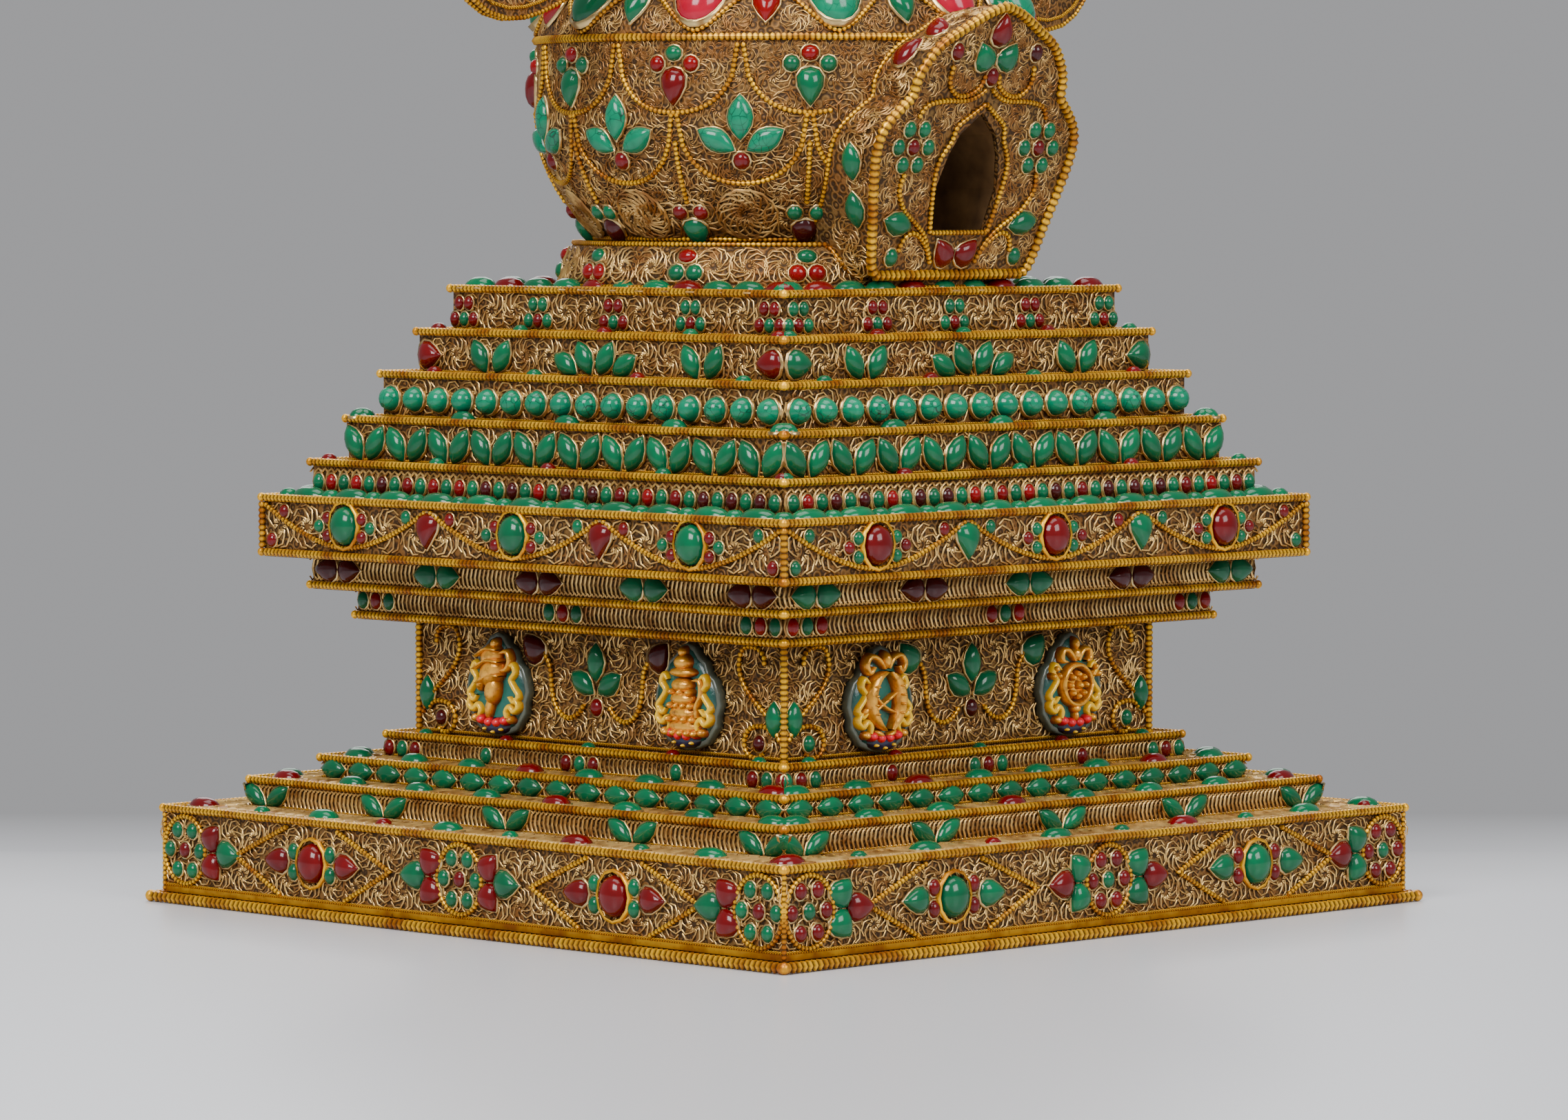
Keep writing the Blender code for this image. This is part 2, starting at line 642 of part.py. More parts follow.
def build_dome(z0):
    foot = add_turned("dome_foot", [(0, z0 + FOOT_HEIGHT)] + foot_profile(z0) + [(0, z0 + GAP)], "filigree")
    foot.data.vertices[-2].co.z = z0 + GAP
    z0 += FOOT_HEIGHT
    base = z0 + GAP
    profile = dome_profile(z0)
    profile[-1] = (profile[-1][0], base)
    top = profile[0][1]
    dome = add_turned("dome", [(0, top)] + profile + [(0, base)], "filigree")
    band = z0 + DOME_BOWL_HEIGHT + DOME_WALL_HEIGHT
    front = -math.pi / 2
    step = (2 * math.pi - SCALLOP_GAP) / SCALLOPS
    clear = math.asin(SHRINE_WIDTH / 2 / DOME_RADIUS) + math.radians(3)
    bm = bmesh.new()
    for index in range(SCALLOPS):
        start = SCALLOP_GAP / 2 + step * index
        points = []
        for i in range(SCALLOP_POINTS):
            share = 0.04 + 0.92 * i / (SCALLOP_POINTS - 1)
            angle = start + step * share
            if abs(math.remainder(angle, 2 * math.pi)) < clear:
                continue
            sag = (SCALLOP_DROP - SCALLOP_WIRE) * math.sqrt(1 - (2 * share - 1) ** 2)
            rise = DOME_BOWL_HEIGHT + DOME_WALL_HEIGHT - BAND_WIRE - sag
            spot = Vector((dome_radius(rise), 0, z0 + rise))
            points.append(Matrix.Rotation(front + angle, 3, "Z") @ spot)
        bm.from_mesh(wire_mesh("scallop", points, SCALLOP_WIRE))
        middle = start + step / 2
        if abs(math.remainder(middle, 2 * math.pi)) > clear:
            rise = DOME_BOWL_HEIGHT + DOME_WALL_HEIGHT - SCALLOP_DROP * 0.6
            stone_shape(bm, "drop", *DROP, wall_place(front + middle, z0, rise, -90), 4)
    stones = add_cutter("dome_stones", mesh_from(bm, "dome_stones"))
    boolean(dome, stones, "UNION")
    around_stone = None
    for index in range(SHOULDER_STONES):
        angle = front + 2 * math.pi * index / SHOULDER_STONES
        width, length, height = SHOULDER_STONE
        place = shoulder_place(angle, 0.5, band) @ Matrix.Translation((0, 0, STONE_SINK + GAP))
        solo = bmesh.new()
        name = "shoulder_stone_%02d" % (index + 1)
        stone_shape(solo, "oval", length, width, height, place, 6)
        add_object(name, mesh_from(solo, name), ("turquoise", "coral", "jade")[index % 3])
        if index == 0:
            room = bmesh.new()
            stone_shape(room, "oval", length + 3 * GAP, width + 3 * GAP, height + 2 * GAP, place, 6)
            around_stone = mesh_from(room, "stone_keep_out")
    build_shrine(z0 - FOOT_HEIGHT, z0, dome, around_stone)
    return top


def mirrored(half):
    """Closed outline from its right half, which runs from bottom to top on the middle."""
    return half + [(-x, y) for x, y in reversed(half) if x > 0]


def shrine_outline():
    """Trefoil outline of the shrine's face, bottom edge at y 0."""
    w = SHRINE_WIDTH / 2
    h = SHRINE_HEIGHT
    half = [(0.745 * w, 0), (0.81 * w, 0.04 * h), (0.88 * w, 0.18 * h), (0.98 * w, 0.38 * h),
            (w, 0.485 * h), (0.96 * w, 0.555 * h), (0.85 * w, 0.62 * h), (0.76 * w, 0.665 * h),
            (0.745 * w, 0.725 * h), (0.685 * w, 0.79 * h), (0.57 * w, 0.86 * h),
            (0.385 * w, 0.915 * h), (0.175 * w, 0.972 * h), (0, h)]
    return mirrored(half)


def door_outline():
    """Pointed doorway, sill at y 0."""
    w = DOOR_WIDTH / 2
    h = DOOR_HEIGHT
    return mirrored([(0.86 * w, 0), (w, 0.36 * h), (0.8 * w, 0.65 * h), (0.57 * w, 0.82 * h), (0, h)])


def standing(data, near, far, z):
    """Matrix that stands a flat solid up across the front, from y = -near to y = -far."""
    for vert in data.vertices:
        vert.co.z = -near if vert.co.z < 0 else -far
    turn = Matrix(((1, 0, 0, 0), (0, 0, 1, 0), (0, 1, 0, z), (0, 0, 0, 1)))
    data.transform(turn)


def build_shrine(foot_z, dome_z, dome, around_stone):
    """Hollow house whose leaning front has a door, hugging the dome and its foot and clear of the stone over it."""
    floor_z = foot_z + SHRINE_LIFT
    far = SHRINE_FOOT_REACH + SHRINE_HEIGHT
    block = outline_mesh("shrine", shrine_outline(), 1)
    standing(block, POCKET_BACK, far, floor_z)
    shrine = add_object("shrine", block, "filigree")

    bm = bmesh.new()
    size = 4 * SHRINE_HEIGHT
    pivot = Matrix.Translation((0, -SHRINE_FOOT_REACH, floor_z))
    lean = pivot @ Matrix.Rotation(SHRINE_LEAN, 4, "X") @ Matrix.Translation((0, -size / 2, 0))
    bmesh.ops.create_cube(bm, size=size, matrix=lean)
    boolean(shrine, add_cutter("shrine_front_cut", mesh_from(bm, "shrine_front_cut")), "DIFFERENCE")

    keep_out = dome_profile(dome_z, GAP) + foot_profile(foot_z, GAP)
    keep_out = [(0, keep_out[0][1])] + keep_out + [(0, foot_z)]
    dome_cut = add_cutter("dome_keep_out", turned(keep_out, "dome_keep_out"))
    add_screw(dome_cut, DOME_SEGMENTS)
    boolean(shrine, dome_cut, "DIFFERENCE")
    boolean(shrine, add_cutter("stone_keep_out", around_stone), "DIFFERENCE")

    way = outline_mesh("doorway", door_outline(), 1)
    standing(way, POCKET_BACK, far, floor_z + DOOR_SILL)
    doorway = add_cutter("doorway", way)
    boolean(shrine, doorway, "DIFFERENCE")
    boolean(dome, doorway, "DIFFERENCE")


def build_harmika(z0):
    z1 = z0 + HARMIKA_HEIGHT
    half = HARMIKA_SIDE / 2
    cap = HARMIKA_CAP_SIDE / 2
    rim = EDGE_WIRE
    ledge = (cap + half) / 2
    points = [(0, z1), (cap, z1), (cap, z1 - rim), (ledge, z1 - rim), (ledge, z1 - 3 * rim),
              (half - WALL_SETBACK, z1 - 3 * rim), (half - WALL_SETBACK, z0 + rim), (half, z0 + rim),
              (half, z0 + GAP), (0, z0 + GAP)]
    harmika = add_square("harmika", points, "filigree")
    wall = half - WALL_SETBACK
    middle = (z0 + rim + z1 - 3 * rim) / 2
    bm = bmesh.new()
    for face in range(4):
        stone_shape(bm, "oval", *OVAL, face_place(face, wall, 0, middle, 90), 6)
    union_stones(harmika, bm)
    return z1


def build_spire(z0):
    """Lotus seat and thirteen rings that grow smaller upwards."""
    seat = z0 + LOTUS_HEIGHT
    top = seat + SPIRE_HEIGHT
    pitch = SPIRE_HEIGHT / SPIRE_RINGS
    points = []
    for index in range(SPIRE_RINGS):
        share = (SPIRE_RINGS - 1 - index) / (SPIRE_RINGS - 1)
        radius = SPIRE_RADIUS + (SPIRE_TOP_RADIUS - SPIRE_RADIUS) * share
        z = top - pitch * index
        points += [(radius * 0.84, z), (radius, z - pitch * 0.5)]
    points += [(SPIRE_RADIUS * 0.84, seat), (LOTUS_RADIUS, seat), (LOTUS_RADIUS, seat - EDGE_WIRE),
               (LOTUS_RADIUS * 0.86, z0 + GAP)]
    add_turned("spire", [(0, top)] + points + [(0, z0 + GAP)], "filigree", 8)
    return top


def build_parasol(z0):
    top = z0 + PARASOL_HEIGHT
    neck = SPIRE_TOP_RADIUS * 0.55
    points = [(0, top), (neck, top), (neck, top - 2 * EDGE_WIRE),
              (PARASOL_RADIUS * 0.62, z0 + PARASOL_HEIGHT * 0.55),
              (PARASOL_RADIUS - EDGE_WIRE / 2, z0 + 1.8 * EDGE_WIRE), (PARASOL_RADIUS, z0 + EDGE_WIRE),
              (PARASOL_RADIUS, z0 + GAP), (0, z0 + GAP)]
    add_turned("parasol", points, "filigree", 16)
    return top


def stand_upright(data, middle_z):
    """Turn a flat outline to stand across the middle, facing the front."""
    data.transform(Matrix(((1, 0, 0, 0), (0, 0, -1, 0), (0, 1, 0, middle_z), (0, 0, 0, 1))))


def build_finial(z0):
    """Crescent moon, sun disc and flame jewel."""
    centre = z0 + GAP + CRESCENT_RADIUS
    inner = CRESCENT_RADIUS * 0.86
    lift = CRESCENT_RADIUS * 0.36
    count = 14
    start = math.radians(12)
    outer = [(-math.pi + start) + (math.pi - 2 * start) * i / count for i in range(count + 1)]
    points = [(CRESCENT_RADIUS * math.cos(a), CRESCENT_RADIUS * math.sin(a)) for a in outer]
    edge = math.atan2(points[-1][1] - lift, points[-1][0])
    for i in range(1, count):
        angle = edge + (-math.pi - 2 * edge) * i / count
        points.append((inner * math.cos(angle), lift + inner * math.sin(angle)))
    data = outline_mesh("crescent", points, PLATE / 2)
    stand_upright(data, centre)
    add_object("crescent", data, "gilt_wire")
    floor = centre + lift - inner + GAP
    disc = floor + SUN_RADIUS
    bm = bmesh.new()
    place = Matrix.Translation((0, 0, disc)) @ Matrix.Rotation(math.pi / 2, 4, "X")
    bmesh.ops.create_cone(bm, cap_ends=True, segments=16, radius1=SUN_RADIUS, radius2=SUN_RADIUS,
                          depth=PLATE * 1.3, matrix=place)
    add_object("sun_disc", mesh_from(bm, "sun_disc"), "coral")
    base = disc + SUN_RADIUS + GAP
    shape = ((1.0, 0.0), (0.93, 0.22), (0.7, 0.55), (0.4, 0.9), (0.2, 1.0), (0.08, 0.72), (0.0, 0.4))
    profile = [(JEWEL_RADIUS * wide, base + JEWEL_HEIGHT * up) for up, wide in shape]
    add_turned("jewel", profile + [(0, base)], "gilt_wire", 10)
    return base + JEWEL_HEIGHT


def smooth_line(points, steps):
    """Points along a Catmull-Rom curve through (x, z, half width) rows."""
    padded = [points[0]] + list(points) + [points[-1]]
    line = []
    for a, b, c, d in zip(padded, padded[1:], padded[2:], padded[3:]):
        for i in range(steps):
            t = i / steps
            line.append(tuple(0.5 * (2 * q + (r - p) * t + (2 * p - 5 * q + 4 * r - s) * t * t
                                     + (3 * q - p - 3 * r + s) * t ** 3) for p, q, r, s in zip(a, b, c, d)))
    return line + [points[-1]]


def streamer_outline(top_z, waist_z, low_z):
    """Outline of one streamer: from the parasol down in an S and out to a raised tip."""
    half = STREAMER_WIDTH / 2
    waist = max(LOTUS_RADIUS, HARMIKA_CAP_SIDE / 2) + 2 * GAP + half * 0.93
    out = STREAMER_REACH - waist
    fall = waist_z - low_z
    drop = top_z - waist_z
    spine = [(PARASOL_RADIUS * 0.7, top_z, half * 0.5), (waist * 0.93, top_z - drop * 0.2, half * 0.64),
             (waist * 1.12, top_z - drop * 0.45, half * 0.78),
             (waist * 1.09, top_z - drop * 0.73, half * 0.86),
             (waist, waist_z, half * 0.93), (waist + out * 0.16, waist_z - fall * 0.33, half * 0.93),
             (waist + out * 0.48, waist_z - fall * 0.57, half * 0.96),
             (waist + out * 0.81, low_z + half, half), (waist + out * 0.965, low_z + half * 1.6, half * 0.6),
             (STREAMER_REACH, low_z + half * 2.3, half * 0.12)]
    line = smooth_line(spine, 2)
    left, right = [], []
    for index, (x, z, wide) in enumerate(line):
        before = line[max(0, index - 1)]
        after = line[min(len(line) - 1, index + 1)]
        along = Vector((after[0] - before[0], after[1] - before[1])).normalized()
        left.append((x + along.y * wide, z - along.x * wide))
        right.append((x - along.y * wide, z + along.x * wide))
    level = max(top_z, left[0][1], right[0][1])
    shift = top_z - level
    return [(x, z + shift) for x, z in left + right[::-1]]


def build_streamers(band_z, lotus_z, parasol_z):
    outline = streamer_outline(parasol_z - GAP, lotus_z, band_z + STREAMER_CLEAR)
    for name, side in (("streamer_left", -1), ("streamer_right", 1)):
        points = [(side * x, z) for x, z in outline]
        data = outline_mesh(name, points[::side], PLATE / 2)
        stand_upright(data, 0)
        add_object(name, data, "filigree")


def main():
    top = build_plinth(0.0)
    top = build_steps(top)
    top = build_throne(top)
    top = build_cornices(top)
    top = build_slab(top)
    top = build_tiers(top)
    band = top + FOOT_HEIGHT + DOME_BOWL_HEIGHT + DOME_WALL_HEIGHT
    top = build_dome(top)
    top = build_harmika(top)
    lotus = top + LOTUS_HEIGHT - EDGE_WIRE / 2
    top = build_spire(top)
    build_streamers(band, lotus, top)
    top = build_parasol(top)
    build_finial(top)


clear_scene()
PARTS = collection("stupa")
CUTTERS = collection("cutters")
main()
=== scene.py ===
"""Looks of a filigree stupa: coiled gilt wires, set stones and scrollwork over its solids."""
import json
import math
import random

import bmesh
import bpy
import numpy as np
from bpy.props import FloatProperty, FloatVectorProperty, PointerProperty
from mathutils import Matrix, Vector

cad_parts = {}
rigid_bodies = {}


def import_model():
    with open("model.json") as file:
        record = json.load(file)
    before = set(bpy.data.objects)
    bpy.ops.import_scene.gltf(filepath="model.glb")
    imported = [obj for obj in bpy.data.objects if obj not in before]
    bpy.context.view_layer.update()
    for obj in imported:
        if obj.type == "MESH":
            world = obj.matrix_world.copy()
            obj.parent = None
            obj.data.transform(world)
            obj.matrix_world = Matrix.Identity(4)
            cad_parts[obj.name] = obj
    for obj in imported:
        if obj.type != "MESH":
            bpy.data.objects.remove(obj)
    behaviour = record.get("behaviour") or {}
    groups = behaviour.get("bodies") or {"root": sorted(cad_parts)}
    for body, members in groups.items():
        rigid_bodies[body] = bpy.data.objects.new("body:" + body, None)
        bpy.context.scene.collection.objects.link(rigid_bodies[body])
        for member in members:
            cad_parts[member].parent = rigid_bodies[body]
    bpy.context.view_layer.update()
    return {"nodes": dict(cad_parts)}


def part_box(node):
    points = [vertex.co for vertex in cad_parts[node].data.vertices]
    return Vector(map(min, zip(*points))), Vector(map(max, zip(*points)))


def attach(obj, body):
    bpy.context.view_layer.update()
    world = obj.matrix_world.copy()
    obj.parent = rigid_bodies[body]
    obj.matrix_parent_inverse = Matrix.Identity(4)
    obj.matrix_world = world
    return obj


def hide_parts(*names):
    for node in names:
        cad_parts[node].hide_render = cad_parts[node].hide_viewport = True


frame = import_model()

bl_info = {
    "name": "Filigree stupa",
    "version": (1, 0, 0),
    "blender": (4, 5, 0),
    "location": "View3D > Sidebar > Stupa",
    "description": "Models the wires, stones and scrollwork of a filigree stupa",
    "category": "Add Mesh",
}

MM = 0.001
GAP = 0.3 * MM                  # clearance that the solids keep between each other
SETBACK = 1.8 * MM              # from the outside of an edge wire in to the wall
SEED = 7


def linear(hex_colour):
    """Linear RGBA of an sRGB hex colour."""
    channels = [int(hex_colour[i:i + 2], 16) / 255 for i in (0, 2, 4)]
    return [c / 12.92 if c <= 0.04045 else ((c + 0.055) / 1.055) ** 2.4 for c in channels] + [1.0]


def length(name, description, millimetres):
    return FloatProperty(name=name, description=description, default=millimetres * MM, min=0.05 * MM,
                         precision=5, subtype="DISTANCE", unit="LENGTH")


def colour(name, description, hex_colour):
    return FloatVectorProperty(name=name, description=description, default=linear(hex_colour), size=4,
                               min=0, max=1, subtype="COLOR")


class StupaSizes(bpy.types.PropertyGroup):
    """Thicknesses and spacings of the wires."""
    edge: length("Edge wire", "Thickness of the coiled wire along the edges", 2.4)
    edge_pitch: length("Edge coil", "Spacing of the turns of the edge wire", 1.5)
    foot: length("Foot wire", "Thickness of the coiled wire round the bottom", 3.2)
    foot_pitch: length("Foot coil", "Spacing of the turns of the foot wire", 1.9)
    bead: length("Bead wire", "Thickness of the beaded wire of swags and scallops", 1.55)
    bead_pitch: length("Bead spacing", "Spacing of the beads", 1.35)
    twist: length("Twisted wire", "Thickness of the twisted wire at the inner edges", 1.0)
    scroll: length("Scroll wire", "Width of the flat wire of the scrollwork", 0.4)
    rosette: length("Rosette", "Radius of a rosette of scrolls", 4.9)


class StupaColours(bpy.types.PropertyGroup):
    """Colours of the metals, stones and paints."""
    gilt: colour("Gilt", "Gilt of the coiled wires", "FFC01E")
    tarnish: colour("Tarnish", "Orange tarnish on the gilt", "B0640F")
    brass: colour("Brass", "Pale brass of the scrollwork", "E6BD72")
    patina: colour("Patina", "Brown patina on the scrollwork", "8A5A28")
    sheet: colour("Sheet", "Brass sheet behind the scrollwork", "7C5C2E")
    # Painted shade: the dark between the fine curls drawn on the sheet.
    curl_shadow: colour("Shadow", "Dark patina in the sheet's hollows", "38240F")
    bezel: colour("Bezel", "Thin brass strip round a stone", "CDB27A")
    jade: colour("Jade", "Green stones", "035E3A")
    turquoise: colour("Turquoise", "Blue-green stones", "027452")
    coral: colour("Coral", "Dark red stones", "640408")
    ruby: colour("Ruby", "Bright red stones", "7E0006")
    garnet: colour("Garnet", "Brown-red stones", "40080A")
    rose: colour("Rose coral", "Large pink-red stones round the dome", "A40A2A")
    floor: colour("Floor", "Pale floor", "C0C1C5")
    backdrop: colour("Backdrop", "Grey ground beyond the floor", "A5A5A7")


def sizes():
    return bpy.context.scene.stupa_sizes


def colours():
    return bpy.context.scene.stupa_colours


# Materials

COLOUR_MIX = {"data_type": "RGBA"}
BLACK = (0, 0, 0, 1)


def feed(tree, node, **inputs):
    """Set or link a node's inputs. _1 in a name is an input's number. A node gives its first used output."""
    for key, value in inputs.items():
        socket = node.inputs[int(key[1:]) if key[1:].isdigit() else key.replace("_", " ")]
        if isinstance(value, bpy.types.Node):
            value = next(output for output in value.outputs if output.enabled)
        if isinstance(value, bpy.types.NodeSocket):
            tree.links.new(value, socket)
        else:
            socket.default_value = value


def add(tree, kind, settings=(), **inputs):
    """A shader node with its settings and its inputs."""
    node = tree.nodes.new("ShaderNode" + kind)
    for key, value in dict(settings).items():
        setattr(node, key, value)
    feed(tree, node, **inputs)
    return node


def material(name):
    """A new node material, its tree, its shader and its object coordinates."""
    made = bpy.data.materials.new(name)
    made.use_nodes = True
    tree = made.node_tree
    return made, tree, tree.nodes["Principled BSDF"], add(tree, "TexCoord").outputs["Object"]


def shaded(base, share):
    """A colour made so many times as bright."""
    return [min(1, c * share) for c in base[:3]] + [1]


def gilt_coil():
    """Gilt brass wire wound in a coil: a deep yellow, bright on the turns, orange where the gilding thins,
    with painted shade in the dips between the turns.
    """
    made, tree, shader, spot = material("gilt_coiled_wire")
    patch = add(tree, "TexNoise", Vector=spot, Scale=1 / (9 * MM), Detail=3)
    grime = add(tree, "TexNoise", Vector=spot, Scale=1 / (1.3 * MM), Detail=2)
    groove = add(tree, "Attribute", {"attribute_name": "groove"}).outputs["Fac"]
    thin = add(tree, "MapRange", Value=patch, From_Min=0.42, From_Max=0.68)
    tone = add(tree, "Mix", COLOUR_MIX, _0=thin, _6=colours().gilt, _7=colours().tarnish)
    dirty = add(tree, "MapRange", Value=grime, From_Min=0.6, From_Max=0.85)
    worn = add(tree, "Mix", COLOUR_MIX, _0=dirty, _6=tone, _7=shaded(colours().tarnish, 0.5))
    # Painted shade: the dips between the turns go nearly to a dark tarnish brown.
    painted_groove_shade = add(tree, "MapRange", Value=groove, From_Min=0.25, From_Max=0.95)
    base = add(tree, "Mix", COLOUR_MIX, _0=painted_groove_shade, _6=worn, _7=shaded(colours().tarnish, 0.2))
    rough = add(tree, "MapRange", Value=grime, From_Min=-0.6, From_Max=2.2)
    feed(tree, shader, Base_Color=base, Roughness=rough, Metallic=0.7)
    return made


def twisted_wire():
    """Thin twisted gilt wire: its slanting strands are 0.9 mm apart, drawn as stripes that dent it."""
    made, tree, shader, spot = material("twisted_gilt_wire")
    parts = add(tree, "SeparateXYZ", Vector=spot).outputs
    across = add(tree, "Math", {"operation": "ADD"}, _0=parts[0], _1=parts[1])
    along = add(tree, "Math", {"operation": "ADD"}, _0=across, _1=parts[2])
    turn = add(tree, "Math", {"operation": "MULTIPLY"}, _0=along, _1=2 * math.pi / (0.9 * MM))
    wave = add(tree, "Math", {"operation": "SINE"}, _0=turn)
    strand = add(tree, "MapRange", Value=wave, From_Min=-1, From_Max=1)
    base = add(tree, "Mix", COLOUR_MIX, _0=strand, _6=colours().patina, _7=colours().gilt)
    bump = add(tree, "Bump", Height=strand, Strength=0.8, Distance=0.3 * MM)
    feed(tree, shader, Base_Color=base, Normal=bump, Metallic=0.85, Roughness=0.38)
    return made


def scroll_wire():
    """Drawn brass wire, lacquered and aged: pale where rubbed, brown between, and browner on the dome."""
    made, tree, shader, spot = material("aged_brass_wire")
    patch = add(tree, "TexNoise", Vector=spot, Scale=1 / (6 * MM), Detail=4)
    level = add(tree, "SeparateXYZ", Vector=spot).outputs[2]
    high = add(tree, "MapRange", Value=level, From_Min=165 * MM, From_Max=195 * MM)
    aged = add(tree, "Math", {"operation": "MULTIPLY_ADD"}, _0=high, _1=0.12, _2=patch)
    brown = add(tree, "MapRange", Value=aged, From_Min=0.4, From_Max=0.7)
    base = add(tree, "Mix", COLOUR_MIX, _0=brown, _6=colours().brass, _7=colours().patina)
    feed(tree, shader, Base_Color=base, Metallic=0.65, Roughness=0.3)
    return made


def ground_sheet():
    """Brass sheet under the scrolls, with curls too fine to model, about 1.1 mm across, drawn as rings with
    dark brown painted shade between them.
    """
    made, tree, shader, spot = material("patinated_brass_sheet")
    cell = add(tree, "TexVoronoi", {"feature": "F1"}, Vector=spot, Scale=1 / (2.4 * MM))
    ring = add(tree, "Math", {"operation": "MULTIPLY"}, _0=cell, _1=2 * math.pi * 2.2)
    sine = add(tree, "Math", {"operation": "SINE"}, _0=ring)
    wave = add(tree, "MapRange", Value=sine, From_Min=-1, From_Max=1)
    patch = add(tree, "TexNoise", Vector=spot, Scale=1 / (12 * MM), Detail=4)
    brown = add(tree, "MapRange", Value=patch, From_Min=0.35, From_Max=0.7)
    tone = add(tree, "Mix", COLOUR_MIX, _0=brown, _6=colours().sheet, _7=colours().patina)
    # Painted shade: the troughs of the rings take the dark shadow colour.
    base = add(tree, "Mix", COLOUR_MIX, _0=wave, _6=colours().curl_shadow, _7=tone)
    bump = add(tree, "Bump", Height=wave, Strength=0.7, Distance=0.35 * MM)
    feed(tree, shader, Base_Color=base, Normal=bump, Metallic=0.55, Roughness=0.55)
    return made


def bezel_strip():
    """Thin brass strip bent round a stone, polished by its burnishing."""
    made, tree, shader, spot = material("burnished_bezel_brass")
    patch = add(tree, "TexNoise", Vector=spot, Scale=1 / (3 * MM), Detail=2)
    brown = add(tree, "MapRange", Value=patch, From_Min=0.45, From_Max=0.75)
    base = add(tree, "Mix", COLOUR_MIX, _0=brown, _6=colours().bezel, _7=colours().patina)
    feed(tree, shader, Base_Color=base, Metallic=0.9, Roughness=0.28)
    return made


def stone(name, base, depth, veins=None):
    """Polished cabochon: cloudy over about 3 mm, a little paler or darker from stone to stone.

    Veins stand 2.4 mm apart, in patches of about 7 mm.
    """
    made, tree, shader, spot = material(name)
    cloud = add(tree, "TexNoise", Vector=spot, Scale=1 / (3 * MM), Detail=3)
    tone = add(tree, "Attribute", {"attribute_name": "tone"}).outputs["Fac"]
    milky = add(tree, "MapRange", Value=cloud, From_Min=0.35, From_Max=0.75)
    body = add(tree, "Mix", COLOUR_MIX, _0=milky, _6=base, _7=shaded(base, 1.3))
    look = add(tree, "Mix", COLOUR_MIX, _0=tone, _6=shaded(base, depth), _7=body)
    if veins:
        crack = add(tree, "TexVoronoi", {"feature": "DISTANCE_TO_EDGE"}, Vector=spot, Scale=1 / (2.4 * MM))
        line = add(tree, "MapRange", Value=crack, From_Min=0.05, From_Max=0.0)
        area = add(tree, "TexNoise", Vector=spot, Scale=1 / (7 * MM))
        patch = add(tree, "MapRange", Value=area, From_Min=0.4, From_Max=0.6)
        vein = add(tree, "Math", {"operation": "MULTIPLY"}, _0=line, _1=patch)
        look = add(tree, "Mix", COLOUR_MIX, _0=vein, _6=look, _7=veins)
    feed(tree, shader, Base_Color=look, Roughness=0.14, IOR=1.44)
    return made


def enamel():
    """Gloss painted colours and gilding on a cast plaque. Each patch brings its colour, with painted shade at
    its low points, and its gilding.
    """
    made, tree, shader, spot = material("painted_and_gilded_relief")
    paint = add(tree, "Attribute", {"attribute_name": "paint"}).outputs["Color"]
    gilding = add(tree, "Attribute", {"attribute_name": "gilding"}).outputs["Fac"]
    wear = add(tree, "TexNoise", Vector=spot, Scale=1 / (1.6 * MM), Detail=4)
    rubbed = add(tree, "MapRange", Value=wear, From_Min=0.5, From_Max=0.8)
    worn = add(tree, "Mix", COLOUR_MIX, _0=rubbed, _6=paint, _7=linear("6E2A14"))
    base = add(tree, "Mix", COLOUR_MIX, _0=gilding, _6=paint, _7=worn)
    metal = add(tree, "Math", {"operation": "MULTIPLY"}, _0=gilding, _1=0.75)
    bump = add(tree, "Bump", Height=wear, Strength=0.5, Distance=0.4 * MM)
    feed(tree, shader, Base_Color=base, Metallic=metal, Normal=bump, Roughness=0.3, Coat_Weight=0.2)
    return made


def bare_sheet():
    """Bare brass sheet left dark and unpolished inside the shrine."""
    made, tree, shader, spot = material("bare_dark_brass")
    patch = add(tree, "TexNoise", Vector=spot, Scale=1 / (8 * MM), Detail=4)
    dull = add(tree, "MapRange", Value=patch, From_Min=0.35, From_Max=0.7)
    base = add(tree, "Mix", COLOUR_MIX, _0=dull, _6=linear("7A5A34"), _7=linear("4A321A"))
    feed(tree, shader, Base_Color=base, Metallic=0.3, Roughness=0.6)
    return made


def make_materials():
    """Every finish of the stupa, by the short name that the pieces use."""
    c = colours()
    stones = {
        "jade": stone("green_jade", c.jade, 0.35),
        "turquoise": stone("veined_turquoise", c.turquoise, 0.6, linear("12261E")),
        "coral": stone("dark_red_coral", c.coral, 0.45),
        "ruby": stone("ruby_glass", c.ruby, 0.4),
        "garnet": stone("garnet", c.garnet, 0.5),
        "rose": stone("rose_coral", c.rose, 0.6),
    }
    metals = {"gilt": gilt_coil(), "twist": twisted_wire(), "scroll": scroll_wire(), "sheet": ground_sheet(),
              "bezel": bezel_strip(), "enamel": enamel(), "bare": bare_sheet()}
    return {**stones, **metals}


def finish_piece(piece, finish, *nodes):
    """Give a finished piece its material, its body and the solids that it stands for."""
    piece.data.materials.clear()
    piece.data.materials.append(FINISHES[finish])
    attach(piece, "root")
    if nodes:
        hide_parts(*nodes)
    return piece


# Small shapes that are repeated

def only(*objects):
    """Select these objects and nothing else."""
    bpy.ops.object.select_all(action="DESELECT")
    for one in objects:
        one.select_set(True)
        bpy.context.view_layer.objects.active = one


def placed(name, data):
    """A new object in the scene."""
    made = bpy.data.objects.new(name, data)
    bpy.context.scene.collection.objects.link(made)
    return made


def from_points(name, points, edges, faces):
    """A new object made of given points, selected alone."""
    mesh = bpy.data.meshes.new(name)
    mesh.from_pydata(points, edges, faces)
    made = placed(name, mesh)
    only(made)
    return made


def face_outwards():
    """Select the whole mesh in edit mode and turn its faces outwards."""
    bpy.ops.mesh.select_all(action="SELECT")
    bpy.ops.mesh.normals_make_consistent(inside=False)


